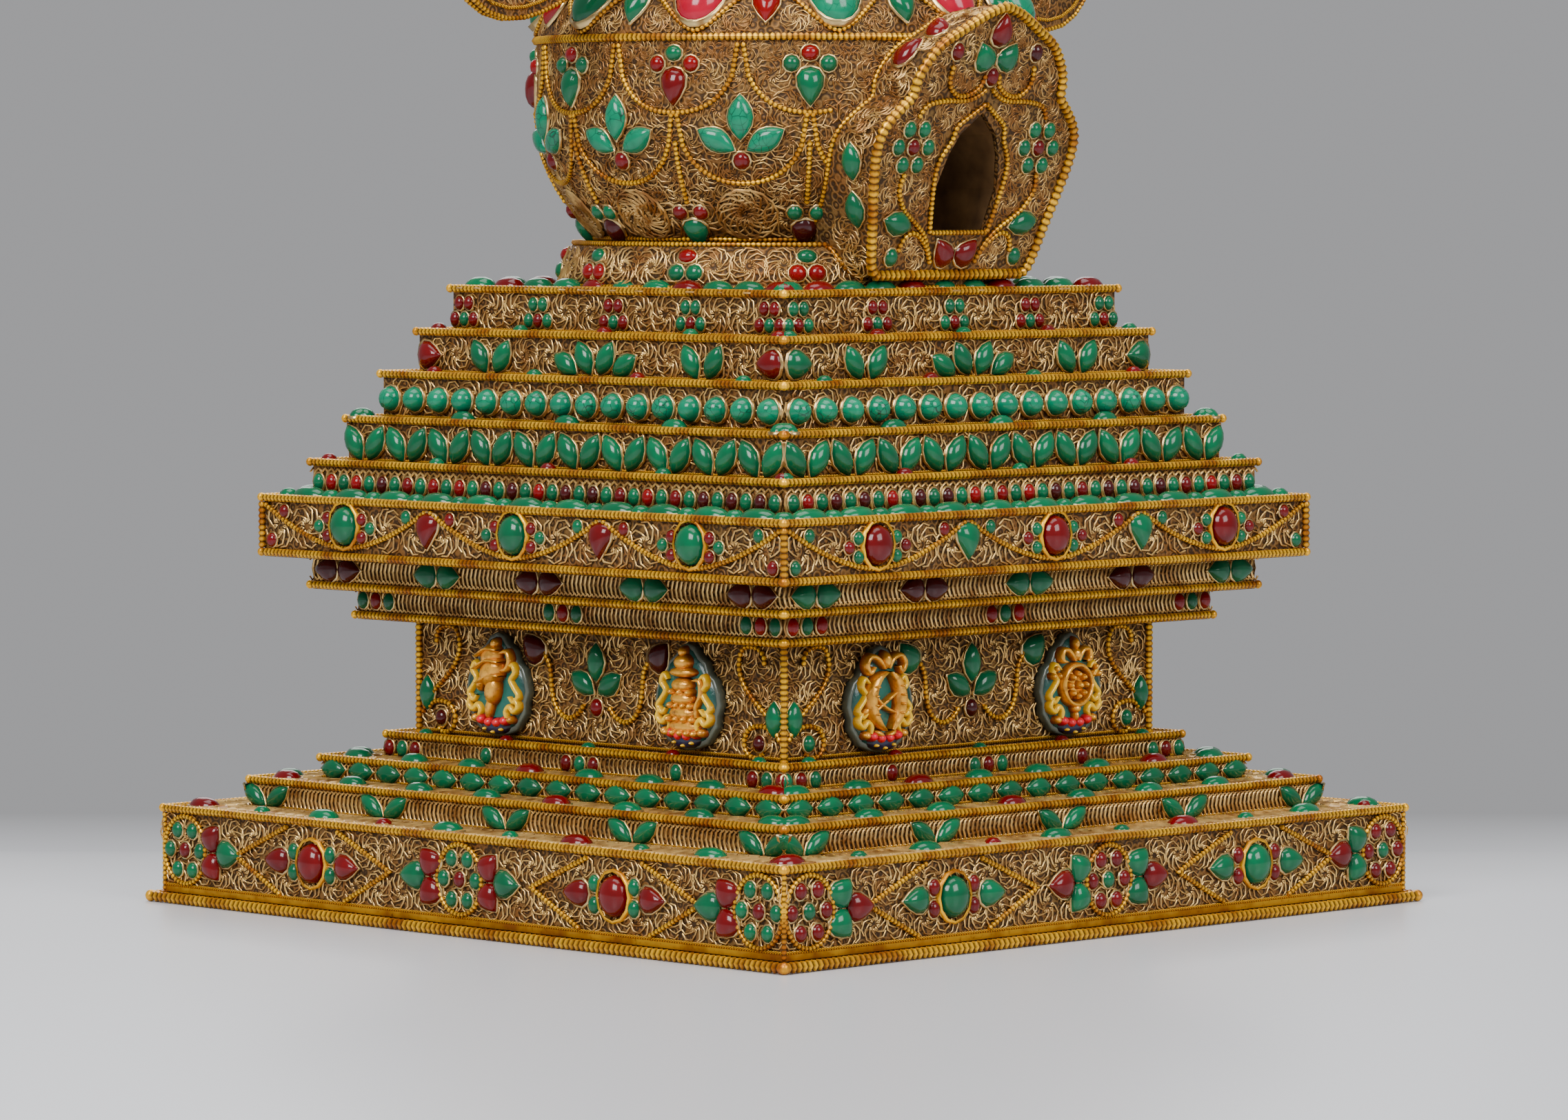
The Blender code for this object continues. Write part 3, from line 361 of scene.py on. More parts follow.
def square_block(name, half, z0, z1):
    """Square block between two levels, in edit mode."""
    only()
    bpy.ops.mesh.primitive_cube_add(size=1, location=(0, 0, (z0 + z1) / 2),
                                    scale=(2 * half, 2 * half, z1 - z0))
    bpy.ops.object.transform_apply(location=True, rotation=True, scale=True)
    piece = bpy.context.object
    piece.name = piece.data.name = name
    bpy.ops.object.mode_set(mode="EDIT")
    return piece


def pick(kind, test):
    """Select the vertices or faces of the mesh in edit mode that pass a test."""
    bpy.ops.mesh.select_mode(type=kind)
    bpy.ops.mesh.select_all(action="DESELECT")
    mesh = bmesh.from_edit_mesh(bpy.context.edit_object.data)
    for part in (mesh.faces if kind == "FACE" else mesh.verts):
        part.select_set(test(part))
    mesh.select_flush_mode()
    bmesh.update_edit_mesh(bpy.context.edit_object.data)


class Shape:
    """Points, corners and face sizes of a small mesh, ready to be copied."""

    def __init__(self, points, corners, sizes_of_faces):
        self.points = np.asarray(points, float)
        self.corners = np.asarray(corners, int)
        self.sizes = np.asarray(sizes_of_faces, int)

    @classmethod
    def taken(cls, source):
        """The shape of an object, which is removed."""
        mesh = source.data
        points = np.empty(len(mesh.vertices) * 3)
        mesh.vertices.foreach_get("co", points)
        corners = [i for face in mesh.polygons for i in face.vertices]
        made = cls(points.reshape(-1, 3), corners, [len(face.vertices) for face in mesh.polygons])
        bpy.data.objects.remove(source)
        bpy.data.meshes.remove(mesh)
        return made

    def copies(self, places):
        """This shape at many places, each a 4 x 4 matrix, as one shape."""
        places = np.array([np.array(place) for place in places])
        count = len(places)
        points = np.einsum("nij,vj->nvi", places[:, :3, :3], self.points) + places[:, None, :3, 3]
        corners = self.corners[None] + np.arange(count)[:, None] * len(self.points)
        return Shape(points.reshape(-1, 3), corners.ravel(), np.tile(self.sizes, count))


def joined(shapes):
    """Several shapes as one."""
    starts = np.cumsum([0] + [len(one.points) for one in shapes[:-1]])
    corners = np.concatenate([one.corners + start for one, start in zip(shapes, starts)])
    return Shape(np.concatenate([one.points for one in shapes]), corners,
                 np.concatenate([one.sizes for one in shapes]))


def new_piece(name, shape, finish, *nodes, **values):
    """A finished piece made of a shape, with any value that changes from point to point."""
    mesh = bpy.data.meshes.new(name)
    mesh.vertices.add(len(shape.points))
    mesh.vertices.foreach_set("co", shape.points.astype(np.float32).ravel())
    mesh.loops.add(len(shape.corners))
    mesh.loops.foreach_set("vertex_index", shape.corners.astype(np.int32))
    mesh.polygons.add(len(shape.sizes))
    starts = np.concatenate(([0], np.cumsum(shape.sizes)[:-1])).astype(np.int32)
    mesh.polygons.foreach_set("loop_start", starts)
    mesh.polygons.foreach_set("use_smooth", np.ones(len(shape.sizes), bool))
    mesh.update(calc_edges=True)
    for key, numbers in values.items():
        flat = numbers.ndim == 1
        layer = mesh.attributes.new(key, "FLOAT" if flat else "FLOAT_COLOR", "POINT")
        layer.data.foreach_set("value" if flat else "color", numbers.astype(np.float32).ravel())
    return finish_piece(placed(name, mesh), finish, *nodes)


def pinch(points, cut):
    """Narrow a round stone's outline to a leaf with two points, or to a drop that points to +x."""
    x = np.clip(points[:, 0], -1, 1)
    if cut == "leaf":
        points[:, 1] *= np.sqrt(1 - x ** 2)
    elif cut == "drop":
        points[:, 1] *= np.sqrt((1 - x) / 2) * 1.3
    elif cut == "teardrop":
        points[:, 1] *= np.sqrt((1 - x) / 2) ** 1.5 * 1.5
    return points


def cabochon(cut, segments, rings):
    """Domed stone of half length, half width and height 1, open below, its length along x."""
    only()
    bpy.ops.mesh.primitive_uv_sphere_add(segments=segments, ring_count=2 * rings, radius=1)
    bpy.ops.object.mode_set(mode="EDIT")
    pick("VERT", lambda vert: vert.co.z < -0.01)
    bpy.ops.mesh.delete(type="VERT")
    bpy.ops.object.mode_set(mode="OBJECT")
    made = Shape.taken(bpy.context.object)
    flat = np.hypot(made.points[:, 0], made.points[:, 1])
    made.points[:, 2] = np.clip(1 - flat ** 2.4, 0, 1) ** 0.5
    pinch(made.points, cut)
    return made


def strip(cut, segments, width, height):
    """Strip that stands round a stone of half length and half width 1."""
    only()
    bpy.ops.mesh.primitive_circle_add(vertices=segments, radius=1 + width)
    bpy.ops.object.mode_set(mode="EDIT")
    bpy.ops.mesh.select_all(action="SELECT")
    bpy.ops.mesh.extrude_edges_move(TRANSFORM_OT_translate={"value": (0, 0, height)})
    bpy.ops.mesh.extrude_edges_move()
    inner = (1 - width * 0.2) / (1 + width)
    bpy.ops.transform.resize(value=(inner, inner, 1), center_override=(0, 0, height))
    face_outwards()
    bpy.ops.object.mode_set(mode="OBJECT")
    made = Shape.taken(bpy.context.object)
    pinch(made.points, cut)
    return made


def ridge(path, width, height, sides=2):
    """Strap along a path in the plane, with a rounded back of so many sides. Its width may change."""
    path = np.array(path, float)
    along = np.gradient(path, axis=0)
    along /= np.linalg.norm(along, axis=1)[:, None]
    side = np.stack([-along[:, 1], along[:, 0]], axis=1) * np.broadcast_to(width, len(path))[:, None] / 2
    rows = []
    for turn in np.linspace(0, math.pi, sides + 1):
        level = np.full((len(path), 1), math.sin(turn) * height)
        rows.append(np.hstack([path + side * math.cos(turn), level]))
    points = np.stack(rows, axis=1).reshape(-1, 3)
    corners = []
    across = sides + 1
    for i in range(len(path) - 1):
        for j in range(sides):
            a = across * i + j
            corners += [a, a + 1, a + 1 + across, a + across]
    return Shape(points, corners, [4] * (sides * (len(path) - 1)))


def polar(radius, degrees):
    return radius * math.cos(math.radians(degrees)), radius * math.sin(math.radians(degrees))


def scroll_path():
    """One scroll of a rosette of radius 1: a small curl near the middle and a tail swept out to the rim."""
    curl = [(0.3 + 0.1 * math.cos(math.radians(a)), 0.1 * math.sin(math.radians(a))) for a in (40, 170, 300)]
    return curl + [polar(0.54, 10), polar(0.82, 28), polar(1.0, 54), polar(0.97, 76)]


def loop_path():
    """One upright loop of a row of height 1, curled at both ends."""
    return [(0.30, 0.36), (0.16, 0.5), (-0.06, 0.34), (-0.14, 0), (-0.04, -0.34), (0.18, -0.5), (0.3, -0.34)]


def make_shapes():
    """The small shapes, by name."""
    made = {}
    for cut in ("oval", "leaf", "drop", "teardrop"):
        made[cut, "small"] = cabochon(cut, 10, 3), strip(cut, 10, 0.16, 0.3)
        made[cut, "medium"] = cabochon(cut, 12, 4), strip(cut, 12, 0.1, 0.26)
        made[cut, "large"] = cabochon(cut, 18, 5), strip(cut, 18, 0.07, 0.3)
    only()
    bpy.ops.mesh.primitive_uv_sphere_add(segments=10, ring_count=6, radius=1)
    made["ball"] = Shape.taken(bpy.context.object)
    width = sizes().scroll / sizes().rosette
    path = np.array(scroll_path())
    made["scroll", 1] = ridge(path, width, width * 0.8)
    made["scroll", -1] = ridge(path * (1, -1), width, width * 0.8)
    made["loop"] = ridge(loop_path(), 0.085, 0.075)
    return made


# Ornament

class Ground:
    """Surface that ornaments are laid on. place(u, v) gives x along u, y along v and z outwards."""

    def __init__(self, trim, place):
        self.trim = trim
        self.place = place

    def stone(self, cut, finish, size, u, v, turn=0.0, collar=False):
        """A set stone of some length, width and height, turned so many degrees from u."""
        place = self.place(u, v) @ Matrix.Rotation(math.radians(turn), 4, "Z")
        self.trim.stones.append((cut, finish, size, place, collar))

    def wire(self, route, gauge="bead", closed=False, lift=0.3):
        """A wire over (u, v) places."""
        up = Vector((0, 0, lift * getattr(sizes(), gauge)))
        self.trim.wires.append((gauge, [self.place(u, v) @ up for u, v in route], closed))

    def rosette(self, u, v, radius, hand=1, count=11, turn=0.0):
        place = self.place(u, v) @ Matrix.Scale(radius, 4)
        for i in range(count):
            spin = Matrix.Rotation(2 * math.pi * (i + turn) / count, 4, "Z")
            self.trim.scrolls.append((hand, place @ spin))

    def loops(self, start, end, v, height, pitch=1.65):
        """A row of upright loops from one u to another."""
        count = max(1, round(abs(end - start) / (pitch * MM)))
        for i in range(count):
            u = start + (end - start) * (i + 0.5) / count
            self.trim.loops.append(self.place(u, v) @ Matrix.Scale(height, 4))

    def field(self, u0, u1, v0, v1, radius):
        """Rosettes in staggered rows that fill a field."""
        rows = max(1, round((v1 - v0) / (1.8 * radius)))
        step = (v1 - v0) / rows
        across = max(1, round((u1 - u0) / (1.9 * radius)))
        pitch = (u1 - u0) / across
        for row in range(rows):
            shift = 0.5 if row % 2 == 0 else 0.0
            for i in range(across + row % 2):
                u = min(max(u0 + (i + shift) * pitch, u0 + radius * 0.6), u1 - radius * 0.6)
                size = radius * DRAW.uniform(0.96, 1.12)
                self.rosette(u, v0 + (row + 0.5) * step, size, 1 if (i + row) % 2 else -1, 9, DRAW.random())


class Trim:
    """Stones, wires and scrolls of one stage, made together as one piece for each finish."""

    def __init__(self, name):
        self.name = name
        self.stones = []
        self.wires = []
        self.scrolls = []
        self.loops = []
        self.lumps = []
        self.clear = []             # (spot, radius) of stones of another trim that the scrolls keep off
        self.hidden_within = 0.0    # radius about the axis under which another stage covers the scrolls

    def hoop(self, gauge, radius, z, steps=96):
        """A wire bent to a level ring."""
        self.wires.append((gauge, around(radius, z, steps), True))

    def square(self, gauge, outside, z):
        """Four straight wires round a square stage, with a ball at each corner of a coiled one."""
        radius = getattr(sizes(), gauge) / 2
        reach = outside - radius
        for face in range(4):
            ends = [face_place(face, reach, side * reach, z).to_translation() for side in (-1, 1)]
            self.wires.append((gauge, ends, False))
            if gauge != "twist":
                self.lumps.append(Matrix.Translation(ends[0]) @ Matrix.Scale(radius * 1.02, 4))

    def make(self):
        self.make_stones()
        self.make_scrolls()
        self.make_wires()

    def make_stones(self):
        groups, bezels, collars = {}, [], []
        for cut, finish, size, place, collar in self.stones:
            kind = "small" if size[0] < 6.5 else ("medium" if size[0] < 11.5 else "large")
            groups.setdefault((finish, cut, kind), []).append(scaled(place, size))
            (collars if collar else bezels).append((cut, kind, place, size, collar))
        for finish in sorted({key[0] for key in groups}):
            parts, tones = [], []
            for key in sorted(k for k in groups if k[0] == finish):
                shape = SHAPES[key[1:]][0]
                parts.append(shape.copies(groups[key]))
                tone = [DRAW.uniform(0.55, 1.0) for _ in groups[key]]
                tones.append(np.repeat(tone, len(shape.points)))
            new_piece(self.name + "_" + finish, joined(parts), finish, tone=np.concatenate(tones))
        for name, finish, rims in (("_bezels", "bezel", bezels), ("_collars", "gilt", collars)):
            if rims:
                parts = [SHAPES[cut, kind][1].copies([scaled(place, size, 1.16 if collar else 1.0)])
                         for cut, kind, place, size, collar in rims]
                new_piece(self.name + name, joined(parts), finish)

    def make_scrolls(self):
        """Scrolls and loops, without the scrolls that a stone or another stage would cover."""
        stones = [(place.to_translation(), (size[0] + size[1]) / 4 * MM)
                  for _, _, size, place, _ in self.stones]
        stones += self.clear or [(Vector((9, 9, 9)), 0)]
        spots = np.array([spot for spot, _ in stones])
        reach = np.array([radius for _, radius in stones])
        parts = []
        for hand in (1, -1):
            places = [place for side, place in self.scrolls if side == hand]
            if places:
                array = np.array([np.array(place) for place in places])
                middle = array[:, :3, 3] + array[:, :3, 0] * 0.7
                gap = np.linalg.norm(middle[:, None] - spots[None], axis=2) - reach[None] * 0.8
                shows = (gap.min(axis=1) > 0) & (np.hypot(middle[:, 0], middle[:, 1]) >= self.hidden_within)
                kept = [place for place, seen in zip(places, shows) if seen]
                parts.append(SHAPES["scroll", hand].copies(kept))
        if self.loops:
            parts.append(SHAPES["loop"].copies(self.loops))
        if parts:
            new_piece(self.name + "_scrollwork", joined(parts), "scroll")

    def make_wires(self):
        s = sizes()
        groups = {"gilt": [], "twist": []}
        for gauge, points, closed in self.wires:
            pitch = {"edge": s.edge_pitch, "foot": s.foot_pitch, "bead": s.bead_pitch}.get(gauge)
            groups["gilt" if pitch else "twist"].append((points, getattr(s, gauge), pitch, closed))
        for finish, routes in groups.items():
            if routes:
                shape, groove = wire_shape(routes)
                if finish == "gilt" and self.lumps:
                    lumps = SHAPES["ball"].copies(self.lumps)
                    shape = joined([shape, lumps])
                    groove = np.concatenate([groove, np.zeros(len(lumps.points))])
                ending = "_coils" if finish == "gilt" else "_twists"
                new_piece(self.name + ending, shape, finish, groove=groove)


def stand_for(nodes):
    """Have the stones of one colour stand for solids."""
    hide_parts(*nodes)


def scaled(place, size, grow=1.0):
    """A stone's place with its size in millimetres."""
    long, wide, high = size
    return place @ Matrix.Diagonal((long / 2 * MM * grow, wide / 2 * MM * grow, high * MM * grow, 1))


def evenly(points, step, closed):
    """Points an even step apart along a line through the given ones, an even number of them."""
    line = np.array([tuple(p) for p in points], float)
    if closed:
        line = np.vstack([line, line[:1]])
    run = np.concatenate(([0], np.cumsum(np.linalg.norm(np.diff(line, axis=0), axis=1))))
    count = max(1, round(run[-1] / step / 2)) * 2
    spots = np.linspace(0, run[-1], count + 1)
    if closed:
        spots = spots[:-1]
    return np.stack([np.interp(spots, run, line[:, i]) for i in range(3)], axis=1)


def wire_shape(routes):
    """Six-sided wires as one shape, and how deep in a dip between two turns each point is, from 0 to 1, by
    which the gilt material paints shade in the dips.

    A wire with a pitch is coiled: it swells once each pitch. The points of the caps on open ends come first.
    """
    grooves = [np.zeros(12 * sum(not closed for _, _, _, closed in routes))]
    data = bpy.data.curves.new("wires", "CURVE")
    data.dimensions = "3D"
    data.bevel_depth = 1
    data.bevel_resolution = 1
    data.use_fill_caps = True
    for points, thickness, pitch, closed in routes:
        line = evenly(points, pitch / 2, closed) if pitch else np.array([tuple(p) for p in points])
        deep = (np.arange(len(line)) % 2 == 0) * (1.0 if pitch else 0.0)
        swell = 1 - 0.34 * deep
        grooves.append(np.repeat(deep, 6))
        spline = data.splines.new("POLY")
        spline.points.add(len(line) - 1)
        spline.points.foreach_set("co", np.c_[line, np.ones(len(line))].astype(np.float32).ravel())
        spline.points.foreach_set("radius", (swell * thickness / 2).astype(np.float32))
        spline.use_cyclic_u = closed
    only(placed("wires", data))
    bpy.ops.object.convert(target="MESH")
    shape = Shape.taken(bpy.context.object)
    bpy.data.curves.remove(data)
    return shape, np.concatenate(grooves)


def smooth(points, steps=5):
    """Points along a Catmull-Rom curve through the given ones."""
    rows = [tuple(points[0])] + [tuple(p) for p in points] + [tuple(points[-1])]
    line = []
    for a, b, c, d in zip(rows, rows[1:], rows[2:], rows[3:]):
        for i in range(steps):
            t = i / steps
            line.append(tuple(0.5 * (2 * q + (r - p) * t + (2 * p - 5 * q + 4 * r - s) * t * t
                                     + (3 * q - p - 3 * r + s) * t ** 3) for p, q, r, s in zip(a, b, c, d)))
    return line + [rows[-1]]


def in_mm(points, side=1):
    """Places given in mm, on the right or mirrored to the left."""
    return [(side * u * MM, v * MM) for u, v in points]


def around(radius, z, steps=96):
    """Level circle of points."""
    turns = [2 * math.pi * i / steps for i in range(steps)]
    return [Vector((radius * math.cos(turn), radius * math.sin(turn), z)) for turn in turns]


def axes(x_axis, y_axis, spot):
    """Place with its x and y along two directions and z square to both."""
    made = Matrix((x_axis, y_axis, x_axis.cross(y_axis))).transposed().to_4x4()
    made.translation = spot
    return made


# Square stages

def face_place(face, distance, u, z):
    """Place on one of the four walls: x of it runs to the right, y up and z outwards."""
    local = Matrix(((1, 0, 0, u), (0, 0, -1, -distance), (0, 1, 0, z), (0, 0, 0, 1)))
    return Matrix.Rotation(face * math.pi / 2, 4, "Z") @ local


def ledge_place(face, z, u, distance):
    """Place on the level top of a stage: y of it runs towards the axis."""
    local = Matrix(((1, 0, 0, u), (0, 1, 0, -distance), (0, 0, 1, z), (0, 0, 0, 1)))
    return Matrix.Rotation(face * math.pi / 2, 4, "Z") @ local


PANEL_RIM = 0.8 * MM            # width of the flat rim round a wall's pressed panel
PANEL_DEPTH = 0.3 * MM
LEDGE_RIM = 1.2 * MM
LEDGE_DEPTH = 0.25 * MM
LOOP_PITCH = 4.0                # mm between the loops that lie on a ledge


class Stage:
    """Sizes of one square stage, read from its solid: the wires' half side, the wall and the levels."""

    def __init__(self, node, top_wire=True):
        low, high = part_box(node)
        self.node = node
        self.top = high.z - (sizes().edge / 2 if top_wire else 0)
        self.bottom = low.z if low.z < GAP else low.z - GAP
        wired = [v.co.x for v in frame["nodes"][node].data.vertices
                 if (v.co.z > high.z - MM if top_wire else v.co.z < low.z + 2 * MM)]
        self.half = max(wired)
        self.wall = self.half - SETBACK
        self.trim = Trim(node)

    def walls(self):
        """The four walls as grounds, with the colours that swap from face to face."""
        for face in range(4):
            pair = ("jade", "coral") if face % 2 else ("coral", "jade")
            yield face, Ground(self.trim, lambda u, z, f=face: face_place(f, self.wall, u, z)), pair

    def ledges(self):
        for face in range(4):
            yield face, Ground(self.trim, lambda u, d, f=face: ledge_place(f, self.top, u, d))

    def edge(self, z):
        """A coiled wire round the stage at a level."""
        self.trim.square("edge", self.half, z)

    def corners(self, z0, z1, gauge="bead"):
        """Upright wires at the four corners."""
        reach = self.wall + getattr(sizes(), gauge) * 0.2
        for face in range(4):
            ends = [face_place(face, reach, -reach, z).to_translation() for z in (z0, z1)]
            self.trim.wires.append((gauge, ends, False))

    def seam(self, z, distance):
        """Thin twisted wire round the stage where another stands on it."""
        self.trim.square("twist", distance + sizes().twist / 2, z)

    def sheet(self, bottom=None):
        """Box of sheet brass whose walls are pressed in behind a narrow rim."""
        z0 = self.bottom if bottom is None else bottom
        piece = square_block(self.node + "_sheet", self.wall, z0, self.top)
        pick("FACE", lambda face: abs(face.normal.z) < 0.5)
        bpy.ops.mesh.inset(thickness=PANEL_RIM, depth=-PANEL_DEPTH, use_individual=True)
        pick("FACE", lambda face: face.normal.z > 0.5 and face.calc_area() > self.wall ** 2)
        bpy.ops.mesh.inset(thickness=LEDGE_RIM, depth=-LEDGE_DEPTH)
        bpy.ops.object.mode_set(mode="OBJECT")
        finish_piece(piece, "sheet", self.node)

    def ledge_loops(self, inner):
        """Loops laid across a ledge between two twisted wires, from the edge in to the stage above."""
        outer = self.half - sizes().edge
        width = outer - inner
        end = inner + width / 2
        for _, ledge in self.ledges():
            ledge.loops(-end, end, (outer + inner) / 2, width * 0.9, LOOP_PITCH)
        for reach in (outer - 0.3 * MM, inner + 1.9 * sizes().twist):
            self.trim.square("twist", reach, self.top + sizes().twist * 0.2)


def spread(reach, count):
    """Even places from one end of a reach to the other, both ends taken."""
    return [reach * (2 * i / (count - 1) - 1) for i in range(count)]


def leaf_pair(ground, finish, size, u, v, gap, lean):
    """Two leaves in a V that opens upwards, each leaning by so many degrees from upright."""
    for side in (-1, 1):
        ground.stone("leaf", finish, size, u + side * gap / 2 * MM, v, 90 - lean * side)


def flower(ground, petal, heart, u, v, across=6.2, tall=5.4, size=(4.7, 4.2, 1.9)):
    """Six oval stones round a seventh."""
    for x, y in ((across, 0), (-across, 0), (across / 2, tall), (-across / 2, tall), (across / 2, -tall),
                 (-across / 2, -tall)):
        ground.stone("oval", petal, size, u + x * MM, v + y * MM, 90)
    ground.stone("oval", heart, size, u, v, 90)


def ring(u, v, wide, tall, count=28):
    """Oval route round a place."""
    turns = [2 * math.pi * i / count for i in range(count)]
    return [(u + wide / 2 * math.cos(turn), v + tall / 2 * math.sin(turn)) for turn in turns]


def plinth_rim(half, z0, z1):
    """Plain dull gilded strip over the foot wire, its top edge rounded off."""
    piece = square_block("plinth_rim", half, z0, z1)
    pick("VERT", lambda point: point.co.z > (z0 + z1) / 2)
    bpy.ops.mesh.bevel(offset=0.4 * MM, segments=2, affect="EDGES")
    bpy.ops.object.mode_set(mode="OBJECT")
    # Evenly darker: the value that darkens the coils' dips is set to 0.6 all over the strip.
    dull = piece.data.attributes.new("groove", "FLOAT", "POINT")
    dull.data.foreach_set("value", np.full(len(piece.data.vertices), 0.6))
    finish_piece(piece, "gilt")


MEDALLION_AT = 111.8 * MM       # from the middle of a plinth wall to its end medallions
LOZENGE_AT = 59 * MM
PLAQUE_AT = 37 * MM             # from the middle of a throne wall to its plaques
PLAQUE_CLEAR = 12.5 * MM        # radius round a plaque that the scrolls keep off


def make_plinth():
    stage = Stage("plinth")
    s = sizes()
    strip_top = s.foot + 1.6 * MM
    stage.sheet(bottom=0.4 * MM)
    stage.edge(stage.top)
    stage.trim.square("foot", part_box("plinth")[1].x, s.foot / 2)
    z1 = stage.top - s.edge / 2
    stage.corners(s.foot, z1, "bead")
    stage.seam(strip_top, stage.wall)
    plinth_rim(stage.wall + 0.4 * MM, s.foot * 0.9, strip_top - 0.2 * MM)
    middle = (strip_top + z1) / 2
    tall = z1 - strip_top
    for _, wall, pair in stage.walls():
        wall.field(-stage.wall, stage.wall, strip_top, z1, s.rosette)
        plinth_wall(wall, *pair, middle, tall)
    stage.ledge_loops(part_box("step_1")[1].x - SETBACK)
    for face, ledge in stage.ledges():
        for i, u in enumerate(spread(112 * MM, 10)):
            finish = "jade" if (i + face) % 3 else "coral"
            size, inset = ((5.2, 4.8, 2.2), 8) if i % 2 else ((10.5, 7.4, 3.0), 8.5)
            ledge.stone("oval", finish, size, u, stage.half - inset * MM)
    stage.trim.make()


def plinth_wall(wall, one, two, middle, tall):
    """Three medallions with drops beside them, and two lozenges between."""
    for u in (-MEDALLION_AT, 0, MEDALLION_AT):
        flower(wall, one, two, u, middle)
        wall.wire(ring(u, middle, 17.2 * MM, tall * 0.94), closed=True)
    for side in (-1, 1):
        for at, away in ((MEDALLION_AT, -1), (0, 1)):
            for up in (-1, 1):
                wall.stone("drop", two, (8.6, 8.2, 2.8), side * (at + away * 11.6 * MM),
                           middle + up * 4.3 * MM, 90 * up - side * away * up * 42)
            point = 0 if side * away > 0 else 180
            wall.stone("drop", one, (9.8, 8.0, 2.8), side * (at + away * 18.4 * MM), middle, point)
        centre = side * LOZENGE_AT
        for turn in (-1, 1):
            chevron = [(10 * MM, tall * 0.47), (31.5 * MM, 0), (13 * MM, -tall * 0.47)]
            wall.wire([(centre + turn * u, middle + v) for u, v in chevron])
            wall.stone("drop", two, (9.8, 7.4, 2.8), centre + turn * 14.2 * MM, middle, 90 - 90 * turn)
            for up in (-1, 1):
                wall.stone("oval", one, (4.9, 4.1, 1.9), centre + turn * 7.4 * MM, middle + up * 2.8 * MM, 90)
        wall.stone("oval", two, (11.2, 9.8, 3.8), centre, middle, 90, True)


def make_step(index):
    stage = Stage("step_%d" % index)
    s = sizes()
    stage.sheet()
    stage.edge(stage.top)
    z0 = stage.bottom
    z1 = stage.top - s.edge / 2
    middle = (z0 + z1) / 2
    stage.seam(z0 + s.twist * 0.6, stage.wall)
    for face, wall, (one, two) in stage.walls():
        wall.loops(-stage.wall, stage.wall, middle, (z1 - z0) * 0.98)
        if index == 1:
            for u in spread(97 * MM, 5):
                leaf_pair(wall, "jade", (10.6, 5.4, 2.6), u, middle + 0.3 * MM, 9.4, 57)
        elif index == 2:
            for u in spread(stage.wall - 5 * MM, 16):
                wall.stone("leaf", "jade", (9.9, 6.2, 2.6), u, middle + 0.6 * MM)
        else:
            for u in (-71 * MM, 0, 71 * MM):
                for i in (-1, 0, 1):
                    wall.stone("oval", two if i else one, (4.9, 4.0, 1.9), u + i * 5.3 * MM, middle, 90)
            for u in (-37 * MM, 37 * MM):
                wall.stone("oval", one, (4.9, 4.0, 1.9), u, middle, 90)
    above = {1: "step_2", 2: "step_3"}.get(index)
    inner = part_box(above)[1].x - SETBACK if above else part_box("throne")[1].x - 1.2 * MM
    stage.ledge_loops(inner)
    for face, ledge in stage.ledges():
        if index < 3:
            for i, u in enumerate(spread(stage.wall - 9 * MM, 8)):
                red = (i + face + index) % 4 == 0
                ledge.stone("oval", "coral" if red else "jade", (9.5, 6.6, 2.8), u, stage.half - 6.8 * MM)
        else:
            for i, u in enumerate(spread(stage.wall - 12 * MM, 5)):
                ledge.stone("oval", "coral" if i % 2 else "jade", (4.6, 4.2, 2.0), u, stage.half - 4.6 * MM)
    stage.trim.make()


THRONE_SCROLL = [(-63.7, 9.6), (-63.4, 12.4), (-60.5, 14.3), (-55.9, 13.8), (-54.3, 9.3), (-55.9, 4.7),
                 (-59.5, 0.7), (-63.7, -2.7), (-67.1, -6.1), (-69.5, -10)]
THRONE_RING = [(-66.9, -8.4), (-65, -6.7), (-61.6, -6.3), (-58, -7.4), (-56.2, -10.5), (-57.3, -13.6),
               (-60.6, -15), (-63.2, -13.6)]
THRONE_GARLAND = [(-21.1, 9.4), (-18.3, 5.6), (-17.4, -1.3), (-15.4, -6), (-11.4, -8.2), (-7.4, -7),
                  (-4.9, -4.4)]


def make_throne():
    stage = Stage("throne", top_wire=False)
    s = sizes()
    stage.wall = -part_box("plaque_fish")[1].y - GAP
    stage.top = stage.bottom + 31.6 * MM
    stage.sheet()
    stage.corners(stage.bottom, stage.top, "edge")
    middle = (stage.bottom + stage.top) / 2
    low = stage.bottom + s.edge / 2
    stage.seam(low, stage.wall)
    for face, wall, _ in stage.walls():
        dark = "garnet" if face % 2 else "jade"
        wall.field(-stage.wall + MM, stage.wall - MM, low, stage.top, s.rosette)
        for u in (-PLAQUE_AT, PLAQUE_AT):
            stage.trim.clear.append((wall.place(u, middle).to_translation(), PLAQUE_CLEAR))
        wall.stone("leaf", "jade", (10.9, 6.4, 2.6), 0, middle + 7.4 * MM, 90)
        for side in (-1, 1):
            wall.stone("leaf", "jade", (10.4, 6.4, 2.6), side * 5.2 * MM, middle + 1.6 * MM, 90 - 57 * side)
            wall.stone("drop", dark, (9.6, 8.4, 2.8), side * 24.6 * MM, middle + 10.2 * MM, 90 - 40 * side)
            wall.stone("leaf", "jade", (10, 6.0, 2.4), side * 67.4 * MM, middle - 4.3 * MM, 90)
            wall.stone("oval", dark, (4.8, 4.2, 2.0), side * 61.8 * MM, middle - 10.9 * MM, 90)
            for route in (THRONE_SCROLL, THRONE_RING, THRONE_GARLAND):
                wall.wire([(-side * u * MM, middle + v * MM) for u, v in smooth(route)])
        wall.stone("oval", "coral" if face % 2 else "garnet", (5.2, 4.6, 2.0), 0, middle - 4.8 * MM, 90)
    stage.trim.make()


